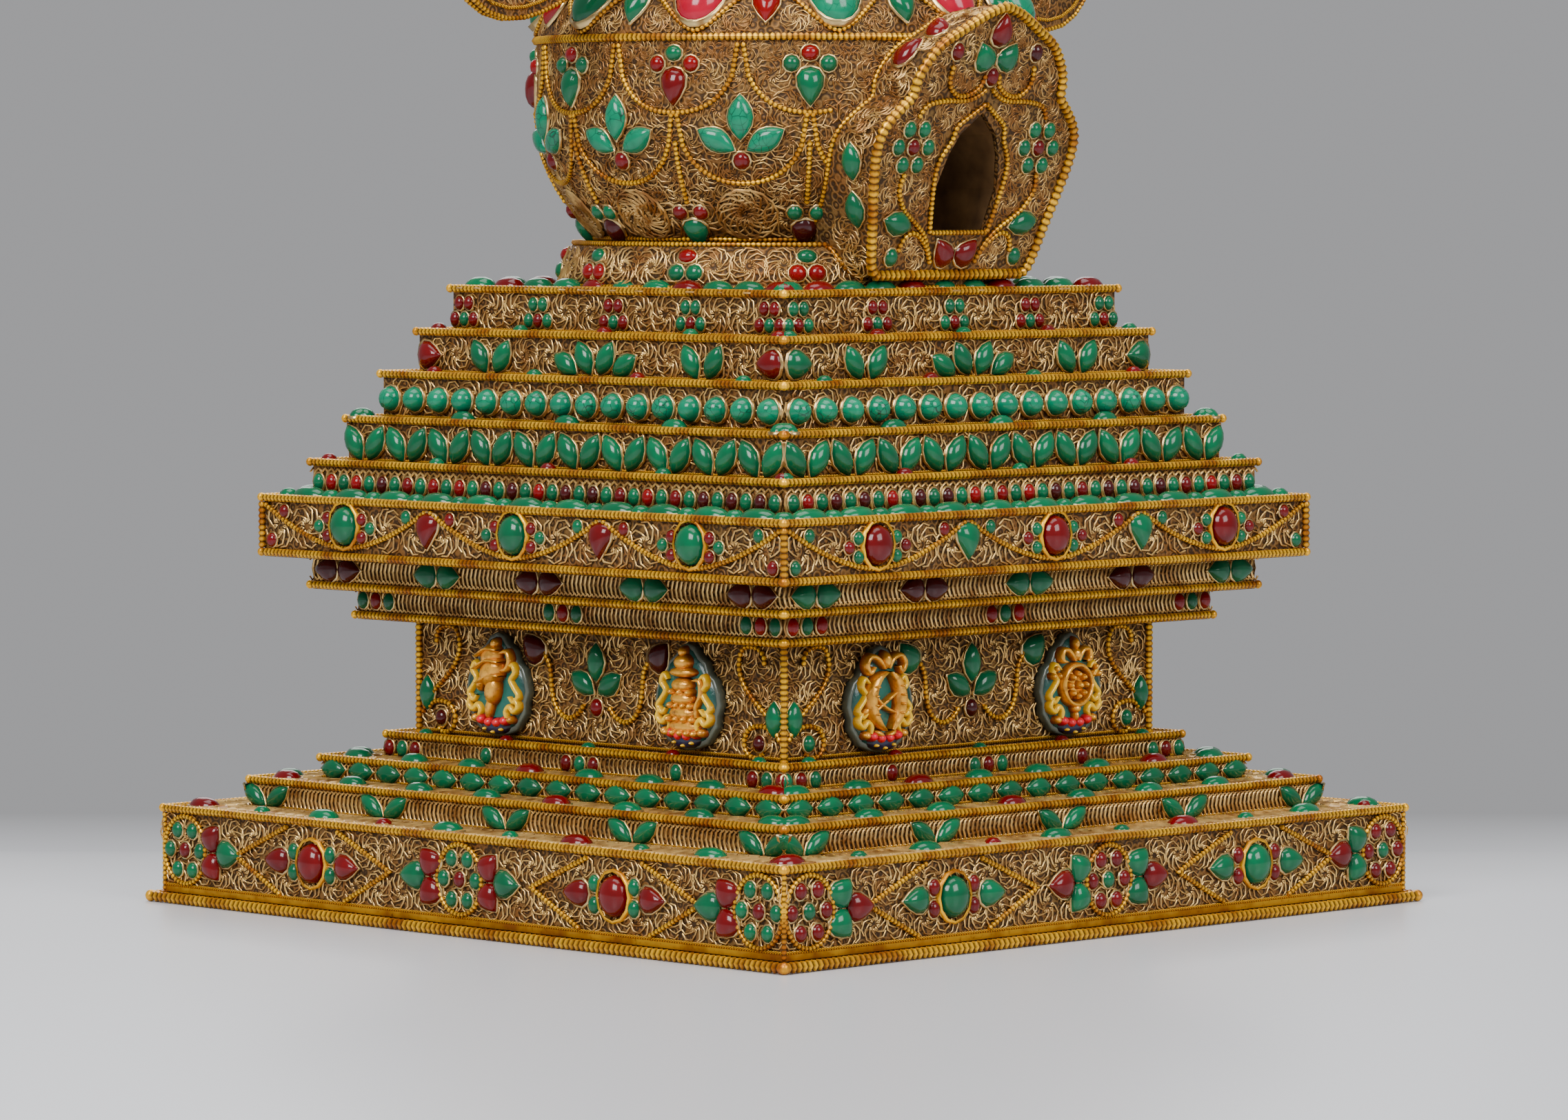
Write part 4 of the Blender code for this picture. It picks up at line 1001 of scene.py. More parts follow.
def make_cornice(name):
    stage = Stage(name, top_wire=False)
    s = sizes()
    stage.sheet()
    stage.edge(stage.bottom + s.edge / 2)
    z0 = stage.bottom + s.edge
    middle = (z0 + stage.top) / 2
    for face, wall, _ in stage.walls():
        wall.loops(-stage.wall, stage.wall, middle, (stage.top - z0) * 0.98)
        if name == "cornice_lower":
            for u in (-stage.wall + 8 * MM, 0, stage.wall - 8 * MM):
                for i in (-1, 0, 1):
                    finish = "ruby" if (face % 2 == 0) == (i != 0) else "jade"
                    wall.stone("oval", finish, (5.2, 4.1, 2.0), u + i * 5.3 * MM, middle, 90)
        else:
            for k, u in enumerate(spread(stage.wall - 11 * MM, 5)):
                finish = "garnet" if (k + face) % 2 else "jade"
                for side in (-1, 1):
                    wall.stone("drop", finish, (9.0, 7.4, 2.8), u + side * 4.7 * MM, middle, 90 - 90 * side)
    stage.trim.make()


def make_slab():
    stage = Stage("table_slab")
    s = sizes()
    stage.sheet()
    stage.edge(stage.top)
    stage.edge(stage.bottom + s.edge / 2)
    z0 = stage.bottom + s.edge
    z1 = stage.top - s.edge / 2
    stage.corners(z0, z1, "edge")
    middle = (z0 + z1) / 2
    bay = 2 * stage.wall / 3
    ovals = Trim("slab_stone")
    for face, wall, (one, two) in stage.walls():
        wall.field(-stage.wall + MM, stage.wall - MM, z0, z1, (z1 - z0) * 0.47)
        for k in (-1, 0, 1):
            centre = k * bay
            swag = [(centre + t * bay * 0.49, z0 + s.bead * 0.6 + (z1 - z0 - s.bead) * abs(t) ** 1.7)
                    for t in spread(1, 17)]
            wall.wire(swag)
            place = wall.place(centre, middle + 0.8 * MM) @ Matrix.Rotation(math.pi / 2, 4, "Z")
            ovals.stones.append(("oval", one, (10.8, 9.6, 3.8), place, True))
            stage.trim.clear.append((place.to_translation(), 5.2 * MM))
            for side in (-1, 1):
                for x, y, finish in ((7.0, 2.7, two), (7.0, -2.2, two), (10.4, 0.4, one)):
                    wall.stone("oval", finish, (3.7, 3.7, 1.8), centre + side * x * MM, middle + y * MM)
                wall.stone("oval", two if side < 0 else one, (4.0, 3.6, 1.7), centre + side * bay * 0.37,
                           z1 - 2.4 * MM, 90)
            if k < 1:
                wall.stone("teardrop", two, (10.2, 8.4, 3.0), centre + bay / 2, middle + 0.5 * MM, -90)
        for side in (-1, 1):
            wall.stone("oval", two, (4.2, 3.8, 1.8), side * (stage.wall - 3.6 * MM), z0 + 2.2 * MM, 90)
    for _, ledge in stage.ledges():
        for i, u in enumerate(spread(stage.wall - 5 * MM, 23)):
            size = (12.4, 7.0, 3.2) if i % 2 else (5.8, 5.8, 2.6)
            ledge.stone("oval", "jade", size, u, stage.half - 6.4 * MM)
    stage.trim.make()
    ovals.make()
    for finish, faces in (("jade", (2, 4)), ("coral", (1, 3))):
        stand_for(["slab_stone_%d_%d" % (face, k) for face in faces for k in (1, 2, 3)])


def tier_stones(index, face, wall, stage, middle):
    """The row of stones that each tier carries on its walls."""
    if index == 1:
        for i, u in enumerate(spread(stage.wall - 2.9 * MM, 35)):
            finish = DRAW.choice(("ruby", "garnet", "garnet", "coral")) if i % 2 else "jade"
            wall.stone("oval", finish, (5.0, 4.0, 2.0), u, middle, 90)
    elif index == 2:
        for u in spread(stage.wall - 7.6 * MM, 10):
            leaf_pair(wall, "jade", (11.4, 6.6, 3.0), u, middle, 8.6, 31)
    elif index == 3:
        for u in spread(stage.wall - 4.2 * MM, 16):
            wall.stone("oval", "turquoise", (7.2, 7.0, 4.6), u, middle, 90)
    elif index == 4:
        drop = "coral" if face % 2 else "jade"
        for side in (-1, 1):
            wall.stone("drop", drop, (9.2, 8.2, 3.0), side * (stage.wall - 5.0 * MM), middle, 90 + 90 * side)
            leaf_pair(wall, "jade", (10.6, 6.4, 2.8), side * 41 * MM, middle, 8.8, 29)
            wall.stone("leaf", "jade", (10.6, 6.4, 2.8), side * 4.1 * MM, middle + 0.3 * MM, 90 - 29 * side)
            wall.stone("leaf", "jade", (10.2, 6.2, 2.8), side * 11.4 * MM, middle - 1.4 * MM, 90 - 58 * side)
    else:
        for k, u in enumerate(spread(stage.wall - 4.9 * MM, 5)):
            main, heart = ("coral", "jade") if (k + face) % 2 else ("jade", "coral")
            for x, y in ((-1.9, 2.5), (1.9, 2.5), (-3.7, -1.9), (0, -1.9), (3.7, -1.9)):
                finish = heart if (x, y) == (0, -1.9) else main
                wall.stone("oval", finish, (4.2, 3.5, 1.8), u + x * MM, middle + y * MM, 90)


def make_tier(index):
    stage = Stage("tier_%d" % index)
    s = sizes()
    stage.sheet()
    stage.edge(stage.top)
    z0 = stage.bottom
    z1 = stage.top - s.edge / 2
    middle = (z0 + z1) / 2
    stage.seam(z0 + s.twist * 0.6, stage.wall)
    for face, wall, _ in stage.walls():
        if index == 1:
            wall.loops(-stage.wall, stage.wall, middle, (z1 - z0) * 0.9, 2.6)
        else:
            wall.field(-stage.wall + MM, stage.wall - MM, z0 + s.twist, z1, (z1 - z0) * 0.49)
        tier_stones(index, face, wall, stage, middle)
    if index < 5:
        stage.ledge_loops(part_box("tier_%d" % (index + 1))[1].x - SETBACK)
    for face, ledge in stage.ledges():
        if index < 5:
            big = index == 2
            pitch = {1: 44, 2: 41, 3: 40, 4: 33}[index] * MM
            count = int(2 * stage.wall / pitch) + 1
            for i in range(count):
                red = not big and (i + face) % 2
                ledge.stone("oval", "coral" if red else "jade", (8.6, 5.6, 3.0) if big else (5.0, 4.6, 2.4),
                            (i - (count - 1) / 2) * pitch, stage.half - 4.6 * MM)
        else:
            stage.trim.hidden_within = FOOT_RADIUS - 2 * MM
            ledge.field(-stage.wall + MM, stage.wall - MM, 48 * MM, stage.wall, s.rosette * 1.15)
            for i, u in enumerate(spread(stage.wall - 6 * MM, 11)):
                red = (i + face) % 3 == 1
                ledge.stone("oval", "coral" if red else "jade", (10.4, 7.2, 3.2), u, stage.half - 6.4 * MM)
    stage.trim.make()


# Dome

FOOT_RADIUS = 61 * MM
FOOT_TOP_RADIUS = 57 * MM
FOOT_HEIGHT = 13 * MM
FOOT_SWELL = 1.5 * MM
DOME_NECK_RADIUS = 50.5 * MM
DOME_RADIUS = 67.5 * MM
BOWL_HEIGHT = 34 * MM
BAND_RISE = 54.5 * MM
SHOULDER_HEIGHT = 22 * MM
SHOULDER_TOP_RADIUS = 34 * MM
SCALLOPS = 10
SCALLOP_GAP = 47.0              # degrees at the front that the shrine fills
SCALLOP_PITCH = (360 - SCALLOP_GAP) / SCALLOPS
DEGREES_PER_MM = math.degrees(MM / DOME_RADIUS)
# Level and radius of the dome's rows of rosettes, in mm.
DOME_ROWS = ((6.4, 6.2), (12.4, 3.6), (18, 4.8), (26.5, 4.8), (35.5, 4.8), (44.2, 4.6), (51, 3.2))
SHOULDER_ORDER = ("rose", "turquoise", "rose", "jade", "rose", "turquoise", "rose", "jade", "jade", "rose",
                  "turquoise")
SHOULDER_STONES = len(SHOULDER_ORDER)
SHOULDER_STONE = (21.6, 14.2, 6.4)
SHOULDER_SHARE = 0.365          # of the way up the shoulder, over the solid stones
SHOULDER_CLEAR = 8.6 * MM
# Each rosette beside a large stone: pitches away, share of the way up, radius in mm, hand and scrolls.
SHOULDER_ROSETTES = ((0.3, 0.14, 3.9, 1, 10), (0.36, 0.6, 4.2, 1, 10), (0.17, 0.1, 2.8, 1, 8),
                     (0.3, 0.4, 3.0, -1, 8))
SHOULDER_SINK = 1.9 * MM        # the flat back of a large stone sits this deep in the round shoulder
TURN_STEPS = 72
SCALLOP_DROP = 18.5             # mm
SHARP = math.radians(40)        # a fold past this is shaded as an edge


def foot_radius(rise):
    """Radius of the dome's foot at a height above its bottom."""
    share = 1 - rise / FOOT_HEIGHT
    return FOOT_TOP_RADIUS + (FOOT_RADIUS - FOOT_TOP_RADIUS) * share + math.sin(math.pi * share) * FOOT_SWELL


def dome_radius(rise):
    """Radius of the dome at a height above its foot, below the band."""
    short = max(0.0, (BOWL_HEIGHT - rise) / BOWL_HEIGHT)
    return DOME_RADIUS - (DOME_RADIUS - DOME_NECK_RADIUS) * short ** 2


def turned_place(angle, up, radius, z):
    """Place on a round form: x of it runs round to the right, y along up, z outwards. 0 is the front."""
    return Matrix.Rotation(math.radians(angle - 90), 4, "Z") @ axes(Vector((0, 1, 0)), up, (radius, 0, z))


def round_place(angle, radius_at, base, rise):
    """Place on a round wall whose radius is known at each height above its base."""
    slope = (radius_at(rise + 0.1 * MM) - radius_at(rise - 0.1 * MM)) / (0.2 * MM)
    return turned_place(angle, Vector((slope, 0, 1)).normalized(), radius_at(rise), base + rise)


def shoulder_place(angle, share, band):
    """Place on the dome's shoulder, share 0 at the band and 1 at the top."""
    rise = math.pi / 2 * share
    wide = DOME_RADIUS - SHOULDER_TOP_RADIUS
    up = Vector((-wide * math.sin(rise), 0, SHOULDER_HEIGHT * math.cos(rise))).normalized()
    return turned_place(angle, up, SHOULDER_TOP_RADIUS + wide * math.cos(rise),
                        band + SHOULDER_HEIGHT * math.sin(rise))


def lathe(name, profile, steps=TURN_STEPS, start=0.0):
    """Closed solid turned from (radius, z) points that run from the top axis down to the bottom axis."""
    cos, sin = math.cos(start), math.sin(start)
    turned = from_points(name, [(radius * cos, radius * sin, z) for radius, z in profile],
                         [(i, i + 1) for i in range(len(profile) - 1)], [])
    bpy.ops.object.mode_set(mode="EDIT")
    bpy.ops.mesh.select_all(action="SELECT")
    bpy.ops.mesh.spin(steps=steps, angle=2 * math.pi, center=(0, 0, 0), axis=(0, 0, 1))
    bpy.ops.mesh.select_all(action="SELECT")
    bpy.ops.mesh.remove_doubles(threshold=0.005 * MM)
    face_outwards()
    bpy.ops.object.mode_set(mode="OBJECT")
    bpy.ops.object.shade_smooth_by_angle(angle=SHARP)
    return turned


def cut_door(target, base):
    """Cut the doorway through to the pocket's back wall."""
    count = len(DOOR)
    points = [(x * MM, -depth, base + y * MM) for depth in (POCKET_BACK, 100 * MM) for x, y in DOOR]
    sides = [(i, (i + 1) % count, count + (i + 1) % count, count + i) for i in range(count)]
    ends = [tuple(range(count)), tuple(reversed(range(count, 2 * count)))]
    doorway = from_points("doorway", points, [], sides + ends)
    bpy.ops.object.mode_set(mode="EDIT")
    face_outwards()
    bpy.ops.object.mode_set(mode="OBJECT")
    only(target)
    cut = target.modifiers.new("door", "BOOLEAN")
    cut.operation = "DIFFERENCE"
    cut.object = doorway
    bpy.ops.object.modifier_apply(modifier=cut.name)
    bpy.data.objects.remove(doorway)


def clear_of_shrine(angle, margin):
    return abs(math.remainder(angle, 360)) > margin


def make_foot():
    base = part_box("dome_foot")[0].z - GAP
    top = base + FOOT_HEIGHT
    rises = [FOOT_HEIGHT * (1 - i / 8) for i in range(9)]
    profile = [(0, top)] + [(foot_radius(rise), base + rise) for rise in rises] + [(0, base)]
    finish_piece(lathe("dome_foot_sheet", profile), "sheet", "dome_foot")
    trim = Trim("dome_foot")
    trim.hoop("bead", FOOT_RADIUS + 0.6 * MM, base + 0.9 * MM)
    trim.hoop("bead", FOOT_TOP_RADIUS + 0.6 * MM, top - 0.5 * MM)
    for grow in (1.9, 3.0):
        trim.hoop("twist", FOOT_RADIUS + grow * MM, base + 0.6 * MM)
    ground = Ground(trim, lambda angle, rise: round_place(angle, foot_radius, base, rise))
    for i in range(SCALLOPS):
        angle = SCALLOP_GAP / 2 + SCALLOP_PITCH * (i + 0.5)
        one, two = ("jade", "ruby") if i % 2 else ("ruby", "jade")
        ground.stone("oval", one, (5.6, 4.2, 1.9), angle, 9.2 * MM)
        for side in (-1, 1):
            ground.stone("oval", two, (5.0, 4.8, 1.9), angle + side * 2.5, 4.9 * MM)
    for i in range(40):
        angle = i * 9
        if clear_of_shrine(angle, 24):
            ground.rosette(angle, 6.6 * MM, 5.3 * MM, 1 if i % 2 else -1, 11, DRAW.random())
    trim.make()


def make_dome():
    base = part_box("dome")[0].z - GAP
    band = base + BAND_RISE
    wide = DOME_RADIUS - SHOULDER_TOP_RADIUS
    turns = [math.pi / 2 * (1 - i / 8) for i in range(9)]
    shoulder = [(SHOULDER_TOP_RADIUS + wide * math.cos(turn), band + SHOULDER_HEIGHT * math.sin(turn))
                for turn in turns]
    rises = [BAND_RISE * (1 - i / 12) for i in range(1, 13)]
    wall = [(dome_radius(rise), base + rise) for rise in rises]
    piece = lathe("dome_sheet", [(0, band + SHOULDER_HEIGHT)] + shoulder + wall + [(0, base)])
    cut_door(piece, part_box("shrine")[0].z)
    finish_piece(piece, "sheet", "dome")
    trim = Trim("dome")
    trim.hoop("edge", DOME_RADIUS + 0.4 * MM, band)
    trim.hoop("bead", DOME_NECK_RADIUS + 1.4 * MM, base + 0.8 * MM)
    ground = Ground(trim, lambda angle, rise: round_place(angle, dome_radius, base, rise))
    dome_rosettes(ground)
    for i in range(SCALLOPS):
        upper_scallop(ground, SCALLOP_GAP / 2 + SCALLOP_PITCH * (i + 0.5), i)
    for i in range(SCALLOPS + 1):
        lower_scallop(ground, SCALLOP_GAP / 2 + SCALLOP_PITCH * i)
    shoulder_ornament(Ground(trim, lambda angle, share: shoulder_place(angle, share, band)))
    trim.make()


def dome_rosettes(ground):
    """Rows of rosettes over the bowl and the straight wall, from the shrine round to its other side."""
    for rise, radius in DOME_ROWS:
        wide = np.interp(rise + FOOT_HEIGHT / MM, [y for _, y in HOUSE], [x for x, _ in HOUSE]) * MM
        edge = math.degrees(math.asin(wide / dome_radius(rise * MM)))
        span = 360 - 2 * edge
        count = round(math.radians(span) * dome_radius(rise * MM) / (1.9 * radius * MM))
        for i in range(count):
            angle = edge + span * (i + 0.5) / count
            size = radius * DRAW.uniform(0.97, 1.08) * MM
            ground.rosette(angle, rise * MM, size, 1 if i % 2 else -1, 9, DRAW.random())


def scallop(ground, angle, top):
    """Round-bottomed swag of beaded wire, just narrower than the pitch, that hangs from a level."""
    route = []
    for share in spread(1, 25):
        here = angle + share * SCALLOP_PITCH * 0.481
        if clear_of_shrine(here, 33):
            route.append((here, (top - SCALLOP_DROP * (1 - abs(share) ** 2.3) ** (1 / 2.3)) * MM))
    if len(route) > 2:
        ground.wire(route)


def upper_scallop(ground, angle, i):
    """A swag from the band with a cluster in it, and a pendant from its lowest point."""
    scallop(ground, angle, 53)
    if not clear_of_shrine(angle, 36):
        return
    drop, side_stone, top_stone = ("jade", "jade", "ruby") if i % 2 else ("coral", "ruby", "jade")
    ground.stone("drop", drop, (10.6, 7.6, 3.4), angle, 41.3 * MM, -90)
    ground.stone("oval", top_stone, (5.0, 4.4, 2.2), angle, 50.2 * MM)
    for side in (-1, 1):
        ground.stone("oval", side_stone, (4.6, 4.6, 2.2), angle + side * 4.9 * DEGREES_PER_MM, 47.4 * MM)
    rounds, low = ("jade", "garnet") if i % 2 else ("coral", "jade")
    ground.wire([(angle, rise * MM) for rise in (27, 22, 18, 14, 10.6)])
    for side in (-1, 1):
        ground.stone("oval", rounds, (4.8, 4.4, 2.0), angle + side * 3.0, 8.2 * MM, 90)
    ground.stone("drop", low, (9.6, 7.4, 2.8), angle, 3.0 * MM, -90)


def lower_scallop(ground, angle):
    """A lower swag with a spray of leaves in it, and a large rosette below."""
    scallop(ground, angle, 34.5)
    if not clear_of_shrine(angle, 36):
        return
    ground.stone("leaf", "turquoise", (12.4, 7.2, 3.0), angle, 33.2 * MM, 90)
    for side in (-1, 1):
        ground.stone("leaf", "turquoise", (11.6, 6.6, 2.8), angle + side * 6.6 * DEGREES_PER_MM, 27.3 * MM,
                     90 - 60 * side)
    ground.stone("oval", "coral", (5.2, 4.8, 2.0), angle, 21.8 * MM, 90)
    ground.rosette(angle, 7.5 * MM, 8.4 * MM, 1, 15)


def shoulder_ornament(ground):
    """Large stones with a wavy wire under them, and drops and rosettes between."""
    pitch = 360 / SHOULDER_STONES
    large = Trim("shoulder_stone")
    nodes = {}
    for i, finish in enumerate(SHOULDER_ORDER):
        angle = i * pitch
        place = ground.place(angle, SHOULDER_SHARE) @ Matrix.Rotation(math.pi / 2, 4, "Z")
        place = place @ Matrix.Translation((0, 0, -SHOULDER_SINK))
        large.stones.append(("oval", finish, SHOULDER_STONE, place, False))
        ground.trim.clear.append((place.to_translation(), SHOULDER_CLEAR))
        nodes.setdefault(finish, []).append("shoulder_stone_%02d" % (i + 1))
        drop = "ruby" if i % 2 else "jade"
        ground.stone("drop", drop, (10.6, 7.8, 3.6), angle + pitch / 2, 0.235, -90)
        for side in (-1, 1):
            for away, share, radius, hand, count in SHOULDER_ROSETTES:
                here = angle + side * pitch * away
                ground.rosette(here, share, radius * MM, side * hand, count, DRAW.random())
        ground.rosette(angle, 0.92, 4.4 * MM, 1, 10, DRAW.random())
        ground.rosette(angle + pitch / 2, 0.86, 4.4 * MM, -1, 10, DRAW.random())
    large.make()
    for finish, names in nodes.items():
        stand_for(names)
    wave = []
    count = SHOULDER_STONES * 16
    for i in range(count):
        lift = (1 - math.cos(2 * math.pi * i / 16)) / 2
        wave.append((360 * i / count, 0.045 + 0.35 * lift ** 0.8))
    ground.wire(wave, closed=True)
    ground.trim.hoop("bead", SHOULDER_TOP_RADIUS + 0.6 * MM, ground.place(0, 1.0).to_translation().z)


# Shrine

SHRINE_LEAN = math.radians(16.7)
SHRINE_REACH = 62 * MM          # from the axis to the face at its bottom edge
POCKET_BACK = 40 * MM


def both_sides(half):
    """Closed outline from its right half, which runs from bottom to top on the middle."""
    return half + [(-x, y) for x, y in reversed(half) if x > 0]


DOOR = both_sides([(10.3, 11.6), (12, 22.9), (9.6, 32.1), (6.8, 37.4), (0, 43.1)])
DOOR_WIRE = [(11, 11.8), (12.7, 20.6), (13.6, 28.7), (12.6, 33), (10, 37.2), (9, 41.2), (5, 44.2), (0, 47.6)]
HOUSE = [(28, 0), (30.5, 2.8), (33.1, 12.8), (36.8, 27.1), (37.6, 34.5), (36.1, 39.5), (32, 44.1),
         (28.6, 47.3), (28, 51.6), (25.8, 56.2), (21.4, 61.2), (14.5, 65.1), (6.6, 69.2), (0, 71.2)]
FACE_WIRES = (
    [(-15.6, 58), (-15.6, 53), (-12, 49.8), (-7.4, 50), (-3.6, 52.4), (-2.6, 55.6)],
    [(-24.6, 43.4), (-22.4, 46.8), (-16, 48.2), (-8, 48.4), (-3.6, 49.8), (-1.2, 51.6)],
    [(-25.4, 28.3), (-26, 23.4), (-22.6, 18), (-16.4, 13.8), (-12.2, 10.2), (-8.4, 3.2)],
    [(-21.6, 6.4), (-20.2, 10.4), (-16.4, 11.6), (-11.4, 8), (-8.4, 3.2)])
# Rosettes on the right half of the face: across, up and radius in mm.
FACE_ROSETTES = (
    (8.4, 44.5, 3.4), (14.5, 43.6, 3.9), (17.6, 36.2, 4.6), (18, 27.4, 4.4), (17, 20, 3.8), (26, 26, 4.6),
    (31.6, 30.4, 3.6), (29.6, 20.6, 4.0), (32, 39.5, 3.8), (25.4, 45.2, 4.2), (21.8, 53.8, 4.8),
    (12.8, 54.8, 3.6), (8.8, 53.6, 3.2), (10.4, 62.6, 4.2), (19.8, 60.6, 3.4), (14.2, 4.6, 3.6),
    (28, 8, 3.2), (5, 51.8, 2.6), (17.4, 8.2, 3.0), (7, 67.4, 2.8))
# Stones of each side wall: cut, finish, share of the way along the outline, depth in mm and turn.
SIDE_STONES = (("leaf", "jade", 0.19, 5.8, 90), ("leaf", "jade", 0.262, 8, 90),
               ("drop", "coral", 0.74, 9, 60), ("drop", "coral", 0.85, 9, 120))
SIDE_ROSETTES = (0.05, 0.1, 0.15, 0.225, 0.3, 0.36, 0.42, 0.49, 0.56, 0.62, 0.68, 0.79, 0.9, 0.96)


def shrine_place(u, v):
    """Place on the shrine's leaning face: v runs up along it from the bottom edge."""
    lean = Matrix(((1, 0, 0), (0, -math.sin(SHRINE_LEAN), -math.cos(SHRINE_LEAN)),
                   (0, math.cos(SHRINE_LEAN), -math.sin(SHRINE_LEAN)))).to_4x4()
    lean.translation = (0, -SHRINE_REACH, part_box("shrine")[0].z)
    return lean @ Matrix.Translation((u, v, 0))


def make_shrine():
    """Wires, stones and rosettes on the face and sides of the house, and the lining of its pocket."""
    node = frame["nodes"]["shrine"]
    node.data.materials.clear()
    node.data.materials.append(FINISHES["sheet"])
    trim = Trim("shrine")
    face = Ground(trim, shrine_place)
    outline = smooth([(x, y / math.cos(SHRINE_LEAN)) for x, y in HOUSE], 4)
    face.wire(in_mm(both_sides(outline)), "foot", closed=True, lift=0.1)
    face.wire(in_mm(both_sides(smooth(DOOR_WIRE, 4))), closed=True)
    for side in (-1, 1):
        for route in FACE_WIRES:
            face.wire(in_mm(smooth(route, 4), -side))
        face.stone("drop", "jade", (8.6, 7.6, 2.6), side * 4.6 * MM, 60.6 * MM, 90 - 28 * side)
        ear = "coral" if side < 0 else "garnet"
        face.stone("oval", ear, (5.2, 4.4, 2.0), side * 15.2 * MM, 61.8 * MM, 90)
        flower(face, "jade", "coral", side * 24.2 * MM, 35.4 * MM, 5.6, 4.9)
        face.stone("leaf", "jade", (11, 7.0, 2.8), side * 24.2 * MM, 14.4 * MM, 12 * side)
        face.stone("oval", "jade", (5.2, 4.6, 2.0), side * 23.8 * MM, 5 * MM, 90)
        face.stone("drop", "coral", (9.2, 7.4, 2.8), side * 4.5 * MM, 6.4 * MM, 90 - 38 * side)
        for u, v, radius in FACE_ROSETTES:
            face.rosette(side * u * MM, v * MM, radius * MM, side, 10, DRAW.random())
    face.stone("drop", "coral", (9.6, 7.6, 2.8), 0, 68 * MM, 90)
    face.stone("oval", "coral", (5.4, 4.6, 2.0), 0, 55 * MM, 90)
    shrine_sides(trim)
    trim.make()
    make_niche()


def make_niche():
    """Bare dark sheet that lines the pocket behind the door, folded down its back."""
    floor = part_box("shrine")[0].z
    outline = [(x * 0.985, DOOR[0][1] + (y - DOOR[0][1]) * 0.985 + 0.2) for x, y in DOOR]
    count = len(outline)
    points = []
    for depth, lean in ((POCKET_BACK / MM + 0.4, 0), (SHRINE_REACH / MM - 1.2, math.tan(SHRINE_LEAN))):
        points += [(x, -(depth + y * lean), y) for x, y in outline]
    points += [(2.2, -POCKET_BACK / MM - 2.4, 12), (-1.0, -POCKET_BACK / MM - 1.4, 42)]
    corners, face_sizes = [], []
    for i in range(count):
        j = (i + 1) % count
        corners += [i, j, count + j, count + i]
        face_sizes.append(4)
        corners += [i, 2 * count + 1, j] if outline[i][1] > 12 and outline[j][1] > 12 else [i, 2 * count, j]
        face_sizes.append(3)
    for side in (1, -1):
        low = [i for i in range(count) if outline[i][0] * side > 0]
        corners += [low[0] if side > 0 else low[-1], 2 * count, 2 * count + 1]
        face_sizes.append(3)
    shape = Shape(np.array(points) * MM + (0, 0, floor), corners, face_sizes)
    piece = new_piece("niche_lining", shape, "bare")
    piece.data.shade_flat()


def shrine_sides(trim):
    """Stones, rosettes and wires on the house's two side walls, which follow its outline back to the dome."""
    outline = smooth(HOUSE, 6)
    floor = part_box("shrine")[0].z

    def front(height):
        return SHRINE_REACH + height * math.tan(SHRINE_LEAN)

    for side in (-1, 1):
        def place(share, depth, side=side):
            index = min(len(outline) - 2, int(share * (len(outline) - 1)))
            (x0, h0), (x1, h1) = outline[index], outline[index + 1]
            along = Vector((side * (x1 - x0), 0, h1 - h0)).normalized()
            spot = (side * x0 * MM, depth - front(h0 * MM), floor + h0 * MM)
            return axes(Vector((0, side, 0)), along, spot)

        ground = Ground(trim, place)
        for cut, finish, share, depth, turn in SIDE_STONES:
            ground.stone(cut, finish, (10.4, 6.8, 2.6), share, depth * MM, turn)
        for number, share in enumerate(SIDE_ROSETTES):
            depth = 5 if number % 2 else 9.5
            ground.rosette(share, depth * MM, 4.9 * MM, side, 10, DRAW.random())
        back_edge = []
        for x, height in outline[:-1]:
            reach = dome_reach(floor + height * MM)
            depth = math.sqrt(max(0.0, (reach + 0.6 * MM) ** 2 - (x * MM) ** 2))
            if 0 < depth < front(height * MM):
                back_edge.append(Vector((side * x * MM, -depth, floor + height * MM)))
        if len(back_edge) > 2:
            trim.wires.append(("bead", back_edge, False))


def dome_reach(z):
    """Radius of the dome or its foot at a level."""
    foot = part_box("dome_foot")[0].z - GAP
    base = foot + FOOT_HEIGHT
    band = base + BAND_RISE
    if z < base:
        return foot_radius(max(0.0, z - foot))
    if z < band:
        return dome_radius(z - base)
    lift = min(1.0, (z - band) / SHOULDER_HEIGHT)
    return SHOULDER_TOP_RADIUS + (DOME_RADIUS - SHOULDER_TOP_RADIUS) * math.sqrt(1 - lift ** 2)


# Plaques

# Each colour of the relief: dark with painted shade for its low points, lit for its high points, and how much
# it is gilded.
SHADED_AND_LIT_PAINTS = {
    "gold": ("8A2A0C", "FFBA3C", 0.8),
    "yellow": ("A8700A", "FFCE1A", 0.15),
    "red": ("7A0610", "E8142A", 0.0),
    "navy": ("04060E", "121A40", 0.0),
    "teal": ("021C1E", "066456", 0.0),
    "rim": ("121A16", "545C50", 0.0),
}
PLATE_TOP = 2.6                 # mm from the wall to the plate's face
FISH_WIDTHS = (1.6, 3.8, 4.8, 4.0, 2.0)
HALF_PLATE = [(0, -14.2), (4.4, -13.4), (7.8, -12), (9.6, -9.6), (11.2, -7.4), (11.2, -4.6), (12.4, -1.6),
              (11.8, 1.6), (10.4, 4.8), (8.0, 6.4), (6.9, 9.4), (4.4, 11.2), (2.6, 13.4), (0, 14.4)]


def loft(outline, rings):
    """Outline copied in and up, ring by ring, each ring a (scale, height), and closed in the middle."""
    outline = np.array(outline, float)
    count = len(outline)
    points = np.vstack([np.c_[outline * scale, np.full(count, height)] for scale, height in rings]
                       + [[[0, 0, rings[-1][1]]]])
    corners, face_sizes = [], []
    for k in range(len(rings) - 1):
        for i in range(count):
            j = (i + 1) % count
            corners += [k * count + i, k * count + j, (k + 1) * count + j, (k + 1) * count + i]
            face_sizes.append(4)
    last = (len(rings) - 1) * count
    for i in range(count):
        corners += [last + i, last + (i + 1) % count, len(points) - 1]
        face_sizes.append(3)
    return Shape(points, corners, face_sizes)


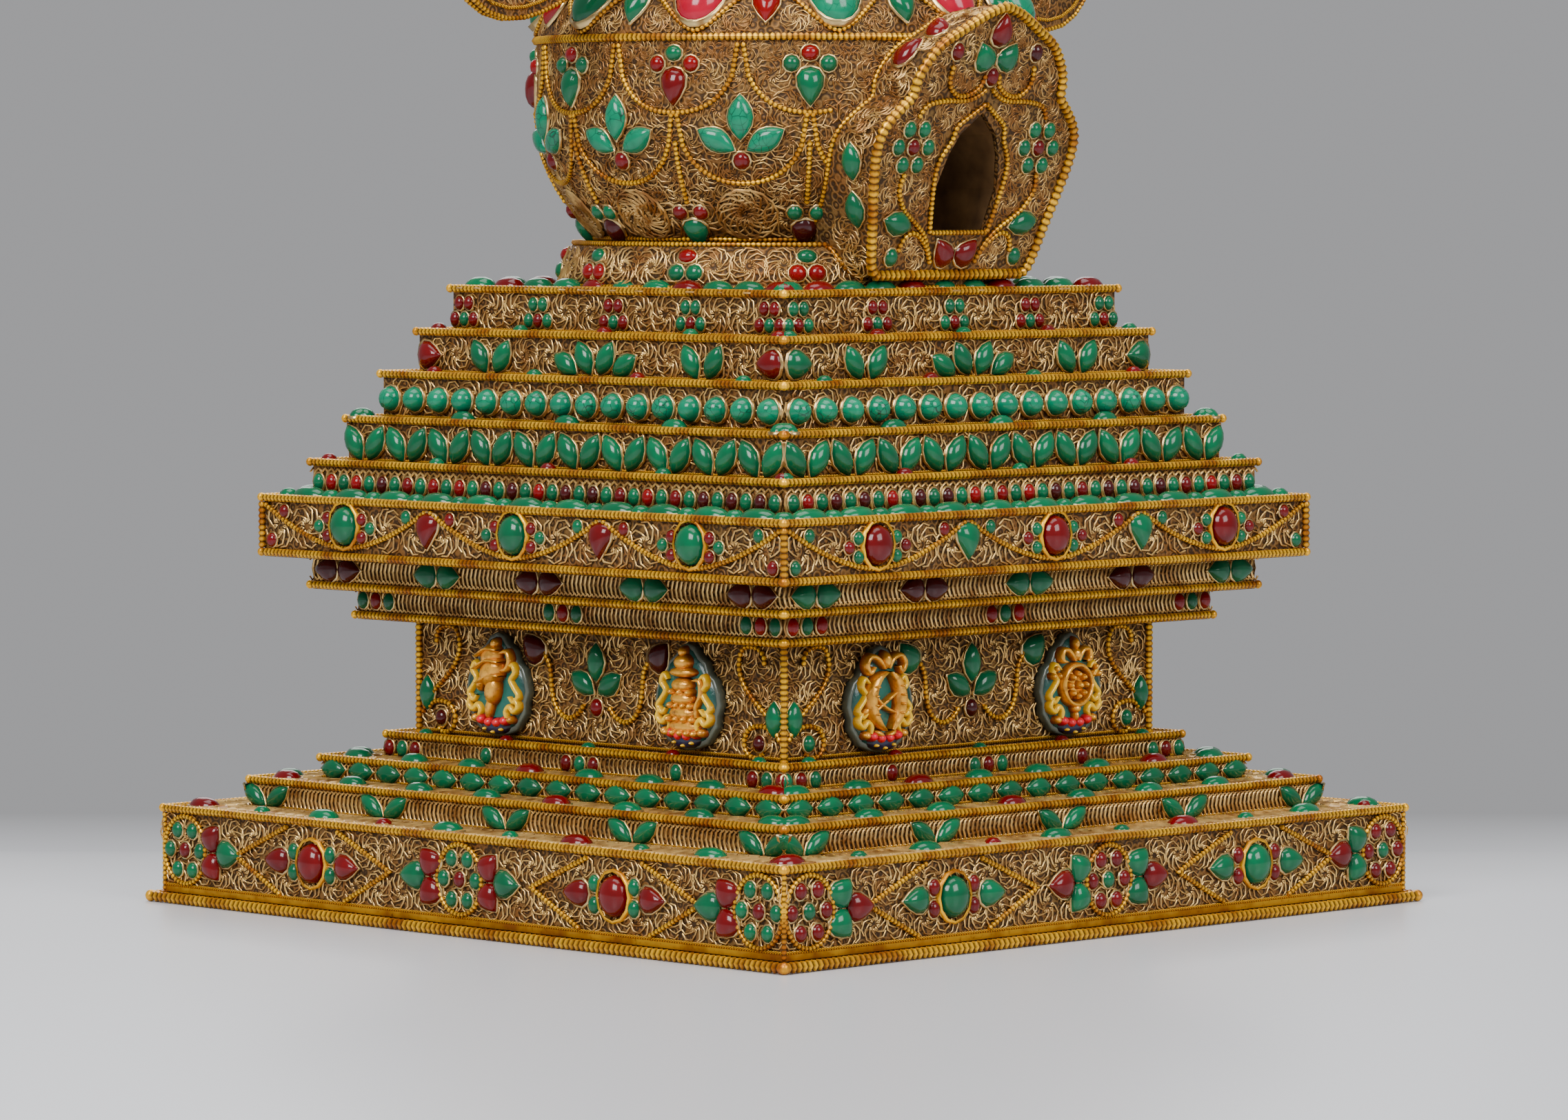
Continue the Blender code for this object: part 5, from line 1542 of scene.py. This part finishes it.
class Relief:
    """Painted relief, in mm, built up of patches, each with a painted-shade colour for its low points and a
    lit colour for its high.
    """

    def __init__(self):
        self.shapes = []
        self.paints = []
        self.gilding = []

    def put(self, shape, paint, low, high):
        dark, light, gilt = SHADED_AND_LIT_PAINTS[paint]
        # Painted shade: a patch runs from its dark colour at its low points to its lit colour at its high
        # points.
        share = np.clip((shape.points[:, 2] - low) / (high - low), 0, 1)[:, None]
        self.paints.append(np.array(linear(dark)) * (1 - share) + np.array(linear(light)) * share)
        self.gilding.append(np.full(len(shape.points), gilt))
        self.shapes.append(shape)

    def blob(self, x, y, long, wide, high, paint="gold", turn=0):
        place = (Matrix.Translation((x, y, PLATE_TOP)) @ Matrix.Rotation(math.radians(turn), 4, "Z")
                 @ Matrix.Diagonal((long / 2, wide / 2, high, 1)))
        shape = SHAPES["oval", "medium"][0].copies([place])
        self.put(shape, paint, PLATE_TOP + high * 0.25, PLATE_TOP + high)

    def stroke(self, points, width, high, paint="gold"):
        line = smooth(points, 4)
        share = np.linspace(0, 1, len(line))
        taper = np.minimum(1, 0.35 + 4 * np.minimum(share, 1 - share)) * np.interp(
            share, np.linspace(0, 1, np.size(width)), np.atleast_1d(width))
        shape = ridge(line, taper, high, 4)
        shape.points[:, 2] += PLATE_TOP
        self.put(shape, paint, PLATE_TOP + high * 0.2, PLATE_TOP + high)

    def both(self, points, width, high, paint="gold"):
        for side in (-1, 1):
            self.stroke([(side * x, y) for x, y in points], width, high, paint)

    def make(self, name, place, node):
        whole = joined(self.shapes).copies([place @ Matrix.Scale(MM, 4)])
        return new_piece(name, whole, "enamel", node, paint=np.concatenate(self.paints),
                         gilding=np.concatenate(self.gilding))


def plaque_ground(relief):
    """Lobed plate, teal ground, lotus base and the ribbons that float beside every symbol."""
    outline = both_sides(HALF_PLATE)
    top = PLATE_TOP
    relief.put(loft(outline, [(1, 0), (1, top - 0.5), (0.97, top), (0.92, top)]), "rim", 0, top)
    field = loft(outline, [(0.92, top - 0.3), (0.9, top + 0.2), (0.62, top + 0.55)])
    relief.put(field, "teal", top, top + 0.6)
    relief.both([(5.8, 4.4), (7.4, 5.8), (8.4, 3.6), (6.8, 1.6), (8.2, -0.6), (9.8, -2.6), (8.0, -4.4),
                 (6.4, -3.0)], 1.9, 2.2, "yellow")
    relief.both([(8.8, -3.2), (9.8, -5.6), (8.0, -7.0), (6.4, -5.6), (5.0, -7.0), (5.6, -8.8)], 1.9, 2.4,
                "yellow")
    relief.blob(0, -11.2, 11.5, 5.0, 1.9, "navy")
    for x, y in ((-4.6, -9.6), (-1.6, -10.2), (1.6, -10.2), (4.6, -9.6)):
        relief.blob(x, y, 3.5, 3.0, 3.0, "red")
    for x, y in ((-3.2, -12.0), (0, -12.8), (3.2, -12.0)):
        relief.blob(x, y, 1.7, 1.1, 2.4, "yellow")
    for side in (-1, 1):
        relief.blob(side * 7.0, -9.2, 2.8, 2.6, 2.8)


def conch(relief):
    for x, y, long, wide, high, turn in ((-0.8, 7.8, 9.0, 7.4, 3.4, 20), (0, 3.6, 11, 8.4, 4.4, 40),
                                         (0.2, -1.4, 9.4, 6.2, 3.8, 78), (-1.2, -6.0, 8.4, 3.4, 2.8, 74),
                                         (0.8, 11.2, 3.8, 3.2, 2.8, 60), (-4.2, 0.6, 6.4, 3.2, 3.2, 62)):
        relief.blob(x, y, long, wide, high, "gold", turn)
    relief.stroke([(3.4, 8.8), (5.8, 9.2), (6.8, 6.8), (5.4, 4.4), (3.2, 4.2)], 1.8, 2.8)
    relief.stroke([(-5.0, 7.6), (-1.4, 9.8), (3.2, 9.6)], 1.3, 4.3)
    relief.stroke([(-5.2, 4.2), (-0.8, 6.6), (4.6, 6.4)], 1.3, 5.0)
    relief.stroke([(-4.2, 0.4), (0.6, 2.6), (4.6, 2.6)], 1.2, 4.9)


def banner(relief):
    for y, wide, tall, high in ((-7.8, 13, 4.6, 3.0), (-4.2, 11, 4.8, 3.6), (-0.4, 9.4, 4.6, 3.9),
                                (3.2, 8.4, 4.6, 3.9), (6.6, 10.4, 3.2, 3.9), (9.2, 6.4, 5.0, 3.7),
                                (12.0, 2.6, 3.4, 3.0)):
        relief.blob(0, y, wide, tall, high)
    for y, reach, count in ((-9.4, 5.2, 5), (-5.8, 4.4, 4), (-2.2, 3.8, 4), (1.4, 3.2, 3)):
        for x in spread(reach, count):
            relief.blob(x, y, 2.5, 2.3, 3.9)
    relief.stroke([(4.2, 4.6), (6.6, 4.4), (6.9, 0.8), (5.2, -2.4), (5.6, -5.2)], 1.5, 2.8)


def fish(relief):
    relief.both([(0.7, 7.4), (4.0, 4.8), (5.6, 0.4), (4.6, -4.2), (1.4, -8.0)], FISH_WIDTHS, 4.0)
    relief.both([(0.8, 8.2), (2.6, 10.6), (5.4, 11.6), (7.2, 9.6), (6.0, 7.2), (4.6, 8.8)], 1.9, 3.0)
    relief.blob(0, 10.4, 3.4, 5.6, 3.6)
    for side in (-1, 1):
        relief.blob(side * 2.2, -9.0, 4.6, 2.0, 2.8, "gold", 25 * side)
        relief.blob(side * 7.0, -2.6, 3.8, 2.2, 2.4, "gold", -35 * side)
        for y in (3.6, 1.2, -1.2, -3.6):
            relief.blob(side * (5.4 - abs(y) * 0.18), y, 2.6, 1.2, 4.5)
    relief.stroke([(-4.0, -2.8), (0, -0.6), (4.0, 1.8)], 1.3, 2.8)
    relief.stroke([(4.0, -3.8), (0, -2.2), (-3.6, 0.6)], 1.3, 2.8)


def wheel(relief):
    relief.stroke([polar(5.4, a) for a in range(0, 361, 24)], 1.9, 3.6)
    relief.blob(0, 0, 9.4, 9.4, 2.2)
    relief.blob(0, 0, 2.8, 2.8, 4.6)
    for turn in range(0, 360, 45):
        relief.blob(*polar(3.0, turn), 2.3, 2.3, 4.0)
    relief.both([(0.6, 6.6), (2.8, 9.4), (5.2, 9.4), (5.6, 7.0), (3.8, 6.4)], 1.8, 3.0)
    relief.blob(0, 8.4, 4.0, 4.2, 3.4)
    relief.blob(0, 11.2, 2.2, 4.2, 3.0)
    for side in (-1, 1):
        for turn in (0, 120, 240):
            x, y = polar(1.3, turn + 90)
            relief.blob(side * 7.8 + x, 3.4 + y, 2.2, 2.2, 3.0)
    relief.blob(0, -6.4, 3.6, 3.0, 3.2)
    relief.blob(0, -8.4, 2.0, 3.6, 2.8)


def lotus(relief):
    for turn in (20, 160, 50, 130, 90):
        x, y = polar(4.6, turn)
        relief.blob(x, y - 1.2, 9.6, 4.0, 3.2 + 0.9 * math.sin(math.radians(turn)), "gold", turn)
    relief.blob(0, 0, 4.0, 3.4, 4.6, "red")
    relief.stroke([(0, -2), (0.8, -5), (0, -9)], 1.6, 2.6)
    relief.both([(0.4, -6.4), (3.0, -5.2), (4.6, -6.6)], 1.6, 2.4)


def vase(relief):
    for y, wide, tall, high in ((-2.6, 10.6, 9.4, 4.6), (3.4, 5.0, 4.4, 3.4), (5.8, 8.2, 2.8, 3.6),
                                (-7.8, 7.0, 3.0, 3.2), (8.8, 5.2, 4.0, 3.4), (11.6, 2.6, 4.2, 3.0)):
        relief.blob(0, y, wide, tall, high)
    relief.both([(2.6, 5.2), (5.8, 5.6), (6.6, 2.6), (4.8, 0.8)], 1.5, 2.8)
    relief.stroke([(-4.8, -2.2), (0, -3.4), (4.8, -2.2)], 1.3, 5.1)


def parasol_symbol(relief):
    relief.blob(0, 6.6, 14, 6.4, 4.0)
    relief.blob(0, 9.8, 7.0, 4.4, 3.8)
    relief.blob(0, 12.4, 2.4, 3.2, 3.0)
    for x in spread(5.6, 6):
        relief.blob(x, 3.6, 2.5, 3.0, 3.2)
    relief.stroke([(0, 3), (0, -3), (0, -9)], 1.8, 2.8)
    relief.both([(4.6, 2.4), (3.6, -0.6), (4.8, -3.4), (3.4, -5.8)], 1.4, 2.4)


def knot(relief):
    for turn in (45, 135):
        for shift in (-2.6, 0, 2.6):
            ends = [(t, shift) for t in (-6.2, -3, 0, 3, 6.2)]
            cos, sin = polar(1, turn)
            relief.stroke([(x * cos - y * sin, x * sin + y * cos + 1.4) for x, y in ends], 1.3, 3.2)
    for turn in range(0, 360, 90):
        x, y = polar(7.4, turn)
        loop = [polar(1.8, a) for a in range(0, 361, 45)]
        relief.stroke([(x + u, y + 1.4 + v) for u, v in loop], 1.2, 2.8)


SYMBOLS = {"conch": conch, "banner": banner, "fish": fish, "wheel": wheel, "lotus": lotus, "vase": vase,
           "parasol": parasol_symbol, "knot": knot}


def make_plaques():
    for symbol, model in SYMBOLS.items():
        node = "plaque_" + symbol
        low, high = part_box(node)
        middle = (low + high) / 2
        face = round(math.atan2(middle.x, -middle.y) / (math.pi / 2)) % 4
        local = Matrix.Rotation(-face * math.pi / 2, 3, "Z") @ middle
        near = min(abs((Matrix.Rotation(-face * math.pi / 2, 3, "Z") @ point).y) for point in (low, high))
        relief = Relief()
        plaque_ground(relief)
        model(relief)
        relief.make(node + "_relief", face_place(face, near - 0.2 * MM, local.x, middle.z), node)


# Harmika, spire, parasol and finial

SPIRE_RINGS = 13
SPIRE_RADIUS = 22 * MM
SPIRE_TOP_RADIUS = 8.5 * MM
LOTUS_HEIGHT = 8 * MM
# The streamers' spine, in mm: across, level and half width.
STREAMER_SPINE = [(21, 388.1, 7), (38.2, 369.1, 9), (46, 345.4, 10.9), (44.8, 318.8, 12), (41.1, 293.2, 13),
                  (53.6, 275.9, 13), (78.5, 263.4, 13.4), (104.2, 254.9, 14), (116.3, 263.3, 8.4),
                  (119, 273.1, 1.7)]


def make_harmika():
    low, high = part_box("harmika")
    s = sizes()
    z0, z1 = low.z - GAP, high.z
    cap = high.x
    half = cap - 4.5 * MM
    wall = half - SETBACK
    neck = (cap + half) / 2
    rim = s.edge
    under = z1 - 3 * rim
    profile = [(0, z1), (cap - SETBACK, z1), (cap - SETBACK, z1 - rim), (neck - MM, z1 - rim),
               (neck - MM, under), (wall, under), (wall, z0), (0, z0)]
    corner = math.sqrt(2)
    body = lathe("harmika_sheet", [(radius * corner, z) for radius, z in profile], 4, math.pi / 4)
    finish_piece(body, "sheet", "harmika")
    trim = Trim("harmika")
    for reach, z in ((cap, z1 - rim / 2), (neck, z1 - 1.6 * rim), (neck - MM, under), (half, z0 + rim / 2)):
        trim.square("edge", reach, z)
    middle = (z0 + rim + under) / 2
    for face in range(4):
        ends = [face_place(face, wall, -wall, z).to_translation() for z in (z0 + rim, under)]
        trim.wires.append(("bead", ends, False))
        ground = Ground(trim, lambda u, z, face=face: face_place(face, wall, u, z))
        one, two = ("jade", "coral") if face % 2 else ("coral", "jade")
        ground.field(-wall + MM, wall - MM, z0 + rim, under - 0.4 * rim, s.rosette * 0.9)
        ground.stone("oval", one, (11.4, 9.6, 3.8), 0, middle, 90, True)
        for side in (-1, 1):
            ground.stone("drop", two, (9.0, 7.4, 2.8), side * 12 * MM, middle, 90 - 90 * side)
    trim.make()


def make_spire():
    """Thirteen rings set with stones, over a lotus collar."""
    low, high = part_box("spire")
    z0, top = low.z - GAP, high.z
    seat = z0 + LOTUS_HEIGHT
    pitch = (top - seat) / SPIRE_RINGS
    lotus = high.x
    trim = Trim("spire")
    profile = [(0, top)]
    for index in range(SPIRE_RINGS):
        share = (SPIRE_RINGS - 1 - index) / (SPIRE_RINGS - 1)
        radius = SPIRE_RADIUS + (SPIRE_TOP_RADIUS - SPIRE_RADIUS) * share
        z = top - pitch * (index + 0.5)
        for wide, lift in ((0.84, 0.45), (0.97, 0.3), (0.97, -0.3), (0.84, -0.45)):
            profile.append((radius * wide, z + pitch * lift))
        for lift in (-0.26, 0.26):
            trim.hoop("twist", radius * 0.98, z + lift * pitch, 32)
        count = max(6, round(2 * math.pi * radius / (7.5 * MM)))
        for i in range(count):
            angle = 360 * (i + index / 2) / count + 90
            place = turned_place(angle, Vector((0, 0, 1)), radius * 0.97, z)
            finish = ("jade", "coral")[(i + index) % 2]
            trim.stones.append(("oval", finish, (3.4, 2.6, 1.7), place, False))
    rim = lotus - 1.2 * MM
    profile += [(SPIRE_RADIUS * 0.84, seat), (rim, seat), (rim, seat - 2.4 * MM), (lotus * 0.86, z0), (0, z0)]
    finish_piece(lathe("spire_sheet", profile, 48), "sheet", "spire")
    trim.hoop("edge", rim, seat - 1.2 * MM, 64)
    for i in range(16):
        place = Matrix.Rotation(2 * math.pi * i / 16, 4, "Z")
        place = place @ Matrix.Translation((lotus - 2.4 * MM, 0, z0 + 2.6 * MM))
        place = place @ Matrix.Rotation(math.radians(80), 4, "Y")
        trim.stones.append(("drop", ("jade", "ruby")[i % 2], (7.4, 6.6, 2.4), place, False))
    trim.make()


def make_parasol():
    low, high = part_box("parasol")
    rim = high.x
    z0, top = low.z - GAP, high.z
    foot = z0 + 0.4 * MM
    height = top - z0 - 4.5 * MM

    def cover(share):
        """Radius and level of the cover, from the rim at 0 to the neck at 1."""
        turn = share * math.pi / 2
        return 5 * MM + (rim - 6.5 * MM) * math.cos(turn) ** 0.9, z0 + 3 * MM + height * math.sin(turn)

    def place(angle, share):
        radius, z = cover(share)
        ahead = cover(min(1, share + 0.02))
        up = Vector((ahead[0] - radius, 0, ahead[1] - z)).normalized()
        return turned_place(angle, up, radius, z)

    profile = [(0, top), (4.6 * MM, top)] + [cover(1 - i / 10) for i in range(11)]
    profile += [(rim - 1.5 * MM, foot), (rim - 3 * MM, foot), (0, foot)]
    finish_piece(lathe("parasol_sheet", profile, 64), "sheet", "parasol")
    trim = Trim("parasol")
    trim.hoop("edge", rim - 1.2 * MM, z0 + 3.0 * MM, 72)
    trim.hoop("bead", rim - 1.4 * MM, z0 + 1.1 * MM, 72)
    trim.hoop("bead", 4.8 * MM, top - 1.4 * MM, 24)
    ground = Ground(trim, place)
    for i in range(8):
        between = i * 45 + 22.5
        ground.stone("oval", ("jade", "coral")[i % 2], (8.2, 6.4, 3.0), i * 45, 0.36, 90)
        ground.stone("drop", ("ruby", "jade")[i % 2], (6.4, 5.4, 2.4), between, 0.22, 90)
        ground.rosette(between, 0.5, 4.2 * MM, 1, 10, DRAW.random())
        ground.wire([(between, share) for share in (0.66, 0.76, 0.86, 0.93)])
    trim.make()


def make_finial():
    """Wires round the crescent and the sun, and a stone on each side of the sun."""
    trim = Trim("finial")

    def arc(radius, centre, angles):
        turns = [polar(radius, angle) for angle in angles]
        return [Vector((x, 0, centre + y)) for x, y in turns]

    low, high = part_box("crescent")
    trim.wires.append(("bead", arc(high.x, low.z + high.x, range(-165, -14, 6)), False))
    low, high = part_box("sun_disc")
    middle = (low.z + high.z) / 2
    for face in (0, 2):
        trim.stones.append(("oval", "ruby", (13.4, 13.4, 3.6), face_place(face, high.y, 0, middle), True))
    trim.wires.append(("bead", arc(high.x + 0.2 * MM, middle, range(0, 360, 10)), True))
    trim.make()


def streamer_sheet(name, frames, side, thick):
    """Smooth slab of sheet brass along a streamer's spine."""
    points, corners = [], []
    for spot, _, normal, wide in frames:
        for edge, depth in ((-1, -1), (1, -1), (1, 1), (-1, 1)):
            place = spot + normal * edge * (wide - 0.3 * MM)
            points.append((side * place.x, depth * thick, place.z))
    last = 4 * (len(frames) - 1)
    for row in range(0, last, 4):
        for k in range(4):
            ahead = (k + 1) % 4
            corners += [row + k, row + ahead, row + 4 + ahead, row + 4 + k]
    corners += [3, 2, 1, 0, last, last + 1, last + 2, last + 3]
    shape = Shape(np.array(points), corners, [4] * (len(corners) // 4))
    piece = new_piece(name + "_sheet", shape, "sheet", name)
    only(piece)
    bpy.ops.object.mode_set(mode="EDIT")
    face_outwards()
    bpy.ops.object.mode_set(mode="OBJECT")
    bpy.ops.object.shade_smooth_by_angle(angle=SHARP)


def streamer_edges(trim, frames, side, thick):
    """Loops across the narrow edges of a streamer."""
    for (here, along, normal, wide), (ahead, _, _, wide_ahead) in zip(frames, frames[1:]):
        for edge in (-1, 1):
            spot = here.lerp(ahead, 0.5) + normal * edge * (wide + wide_ahead) / 2
            x_axis = Vector((side * along.x, 0, along.z))
            out = Vector((side * normal.x, 0, normal.z)) * edge
            place = axes(x_axis, out.cross(x_axis), (side * spot.x, 0, spot.z))
            trim.loops.append(place @ Matrix.Scale(1.7 * thick, 4))


def make_streamers():
    """Coiled wires round the streamers, with stones and rosettes on both their faces."""
    line = smooth(STREAMER_SPINE, 6)
    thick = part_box("streamer_right")[1].y
    for name, side in (("streamer_left", -1), ("streamer_right", 1)):
        trim = Trim(name)
        left, right, frames = [], [], []
        for index, (x, z, wide) in enumerate(line):
            before, after = line[max(0, index - 1)], line[min(len(line) - 1, index + 1)]
            along = Vector((after[0] - before[0], 0, after[1] - before[1])).normalized()
            normal = Vector((along.z, 0, -along.x))
            spot = Vector((x, 0, z))
            left.append((spot + normal * wide) * MM)
            right.append((spot - normal * wide) * MM)
            frames.append((spot * MM, along, normal, wide * MM))
        outline = left + right[::-1]
        for depth in (-thick, thick):
            trim.wires.append(("bead", [Vector((side * p.x, depth * 0.86, p.z)) for p in outline], True))
        streamer_sheet(name, frames, side, thick)
        streamer_edges(trim, frames, side, thick)
        for front in (-1, 1):
            def place(index, across, front=front, side=side):
                spot, along, normal, wide = frames[int(index)]
                spot = spot + normal * across * wide
                x_axis = Vector((side * along.x, 0, along.z))
                y_axis = Vector((0, front, 0)).cross(x_axis)
                return axes(x_axis, y_axis, (side * spot.x, front * thick, spot.z))

            ground = Ground(trim, place)
            ground.rosette(len(line) - 7, 0, 8 * MM, 1, 11, DRAW.random())
            ground.rosette(len(line) - 3, 0, 4 * MM, -1, 9, DRAW.random())
            for number, index in enumerate(range(4, len(line) - 5, 5)):
                finish = ("jade", "coral", "turquoise")[number % 3]
                ground.stone("oval", finish, (9.4, 7.0, 3.2), index, 0, 0, number % 3 == 0)
                for hand in (-1, 1):
                    radius = frames[index][3] * 0.42
                    ground.rosette(index + 2, hand * 0.45, radius, hand, 11, DRAW.random())
            for inner in (-0.8, 0.8):
                ground.wire([(index, inner) for index in range(2, len(line) - 3)], "twist")
        trim.make()


# Stage, floor and light

CAMERA_AT = (-1.3322, -1.3322, 0.2005)
CAMERA_PITCH = 3.23             # degrees below the horizon
CAMERA_LENS = 157.6             # mm on a 36 mm sensor
LAMPS = (("key", (-1.6, -0.5, 1.42), 1.0, 49), ("fill", (0.0, -1.9, 1.25), 1.1, 32),
         ("top", (0.0, 0.0, 1.7), 1.2, 20), ("back", (1.2, 1.4, 1.2), 1.2, 14))     # place, size in m, watts
LAMPS_AIM = (0, 0, 0.15)


def make_stage():
    """Pale floor that fades into a grey ground, four soft lamps and the camera."""
    c = colours()
    only()
    bpy.ops.mesh.primitive_circle_add(vertices=96, radius=6, fill_type="NGON", location=(0, 0, 0))
    floor = bpy.context.object
    floor.name = floor.data.name = "floor"
    made, tree, shader, spot = material("satin_acrylic_floor")
    behind = (math.sqrt(0.5), math.sqrt(0.5), 0)
    away = add(tree, "VectorMath", {"operation": "DOT_PRODUCT"}, _0=spot, _1=behind)
    far = add(tree, "MapRange", Value=away, From_Min=0.02, From_Max=0.26)
    base = add(tree, "Mix", COLOUR_MIX, _0=far, _6=c.floor, _7=BLACK)
    glow = add(tree, "Mix", COLOUR_MIX, _0=far, _6=BLACK, _7=c.backdrop)
    near = add(tree, "Math", {"operation": "SUBTRACT"}, _0=0.5, _1=far)
    gloss = add(tree, "MapRange", Value=near, From_Min=0, From_Max=1)
    feed(tree, shader, Base_Color=base, Emission_Color=glow, Specular_IOR_Level=gloss, Roughness=0.32,
         Emission_Strength=1.0)
    floor.data.materials.append(made)
    world = bpy.context.scene.world or bpy.data.worlds.new("studio")
    bpy.context.scene.world = world
    world.use_nodes = True
    feed(world.node_tree, world.node_tree.nodes["Background"], Color=c.backdrop, Strength=1.0)
    for name, place, size, power in LAMPS:
        data = bpy.data.lights.new(name, "AREA")
        data.energy = power
        data.size = size
        lamp = placed(name, data)
        lamp.location = place
        lamp.rotation_euler = (Vector(LAMPS_AIM) - Vector(place)).to_track_quat("-Z", "Y").to_euler()
    data = bpy.data.cameras.new("camera")
    data.lens = CAMERA_LENS
    data.sensor_width = 36
    data.clip_start = 0.05
    camera = placed("camera", data)
    camera.location = CAMERA_AT
    camera.rotation_euler = (math.radians(90 - CAMERA_PITCH), 0, math.radians(-45))
    bpy.context.scene.camera = camera


def make_rest():
    """The parts that keep their solids: a better finish for each."""
    for name, node in frame["nodes"].items():
        finish = {"crescent": "gilt", "jewel": "gilt", "sun_disc": "ruby"}.get(name, "sheet")
        node.data.materials.clear()
        node.data.materials.append(FINISHES[finish])


# Operators

class StupaOperator:
    """What all the stupa's operators share."""
    bl_options = {"REGISTER", "UNDO"}

    def execute(self, context):
        self.build()
        return {"FINISHED"}


class StupaPlinth(StupaOperator, bpy.types.Operator):
    """Model the plinth with its medallions and lozenges"""
    bl_idname = "stupa.plinth"
    bl_label = "Plinth"

    def build(self):
        make_plinth()


class StupaSteps(StupaOperator, bpy.types.Operator):
    """Model the three steps"""
    bl_idname = "stupa.steps"
    bl_label = "Steps"

    def build(self):
        for index in (1, 2, 3):
            make_step(index)


class StupaThrone(StupaOperator, bpy.types.Operator):
    """Model the throne and its scrolls"""
    bl_idname = "stupa.throne"
    bl_label = "Throne"

    def build(self):
        make_throne()


class StupaCornices(StupaOperator, bpy.types.Operator):
    """Model the two cornices"""
    bl_idname = "stupa.cornices"
    bl_label = "Cornices"

    def build(self):
        for name in ("cornice_lower", "cornice_upper"):
            make_cornice(name)


class StupaSlab(StupaOperator, bpy.types.Operator):
    """Model the table slab with its swags"""
    bl_idname = "stupa.slab"
    bl_label = "Table slab"

    def build(self):
        make_slab()


class StupaTiers(StupaOperator, bpy.types.Operator):
    """Model the five tiers"""
    bl_idname = "stupa.tiers"
    bl_label = "Tiers"

    def build(self):
        for index in range(1, 6):
            make_tier(index)


class StupaDome(StupaOperator, bpy.types.Operator):
    """Model the dome and its foot"""
    bl_idname = "stupa.dome"
    bl_label = "Dome"

    def build(self):
        make_foot()
        make_dome()


class StupaShrine(StupaOperator, bpy.types.Operator):
    """Model the wires and stones of the shrine"""
    bl_idname = "stupa.shrine"
    bl_label = "Shrine"

    def build(self):
        make_shrine()


class StupaPlaques(StupaOperator, bpy.types.Operator):
    """Model the eight painted plaques"""
    bl_idname = "stupa.plaques"
    bl_label = "Plaques"

    def build(self):
        make_plaques()


class StupaCrown(StupaOperator, bpy.types.Operator):
    """Model the harmika, spire, parasol, finial and streamers"""
    bl_idname = "stupa.crown"
    bl_label = "Harmika and spire"

    def build(self):
        make_harmika()
        make_spire()
        make_parasol()
        make_finial()
        make_streamers()


class StupaFinish(StupaOperator, bpy.types.Operator):
    """Finish the solids that are kept as they are"""
    bl_idname = "stupa.finish"
    bl_label = "Kept solids"

    def build(self):
        make_rest()


class StupaStage(StupaOperator, bpy.types.Operator):
    """Set up the floor, the lights and the camera"""
    bl_idname = "stupa.stage"
    bl_label = "Floor, lights and camera"

    def build(self):
        make_stage()


OPERATORS = (StupaFinish, StupaPlinth, StupaSteps, StupaThrone, StupaPlaques, StupaCornices, StupaSlab,
             StupaTiers, StupaDome, StupaShrine, StupaCrown, StupaStage)


class StupaPanel(bpy.types.Panel):
    """The stupa's operators"""
    bl_idname = "VIEW3D_PT_stupa"
    bl_label = "Stupa"
    bl_space_type = "VIEW_3D"
    bl_region_type = "UI"
    bl_category = "Stupa"

    def draw(self, context):
        for operator in OPERATORS:
            self.layout.operator(operator.bl_idname)


CLASSES = (StupaSizes, StupaColours, *OPERATORS, StupaPanel)


def register():
    for one in CLASSES:
        bpy.utils.register_class(one)
    bpy.types.Scene.stupa_sizes = PointerProperty(type=StupaSizes)
    bpy.types.Scene.stupa_colours = PointerProperty(type=StupaColours)


def unregister():
    del bpy.types.Scene.stupa_colours
    del bpy.types.Scene.stupa_sizes
    for one in reversed(CLASSES):
        bpy.utils.unregister_class(one)


def main():
    global FINISHES, SHAPES, DRAW
    register()
    DRAW = random.Random(SEED)
    FINISHES = make_materials()
    SHAPES = make_shapes()
    for operator in OPERATORS:
        group, name = operator.bl_idname.split(".")
        getattr(getattr(bpy.ops, group), name)()
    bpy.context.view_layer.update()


if __name__ == "__main__":
    main()
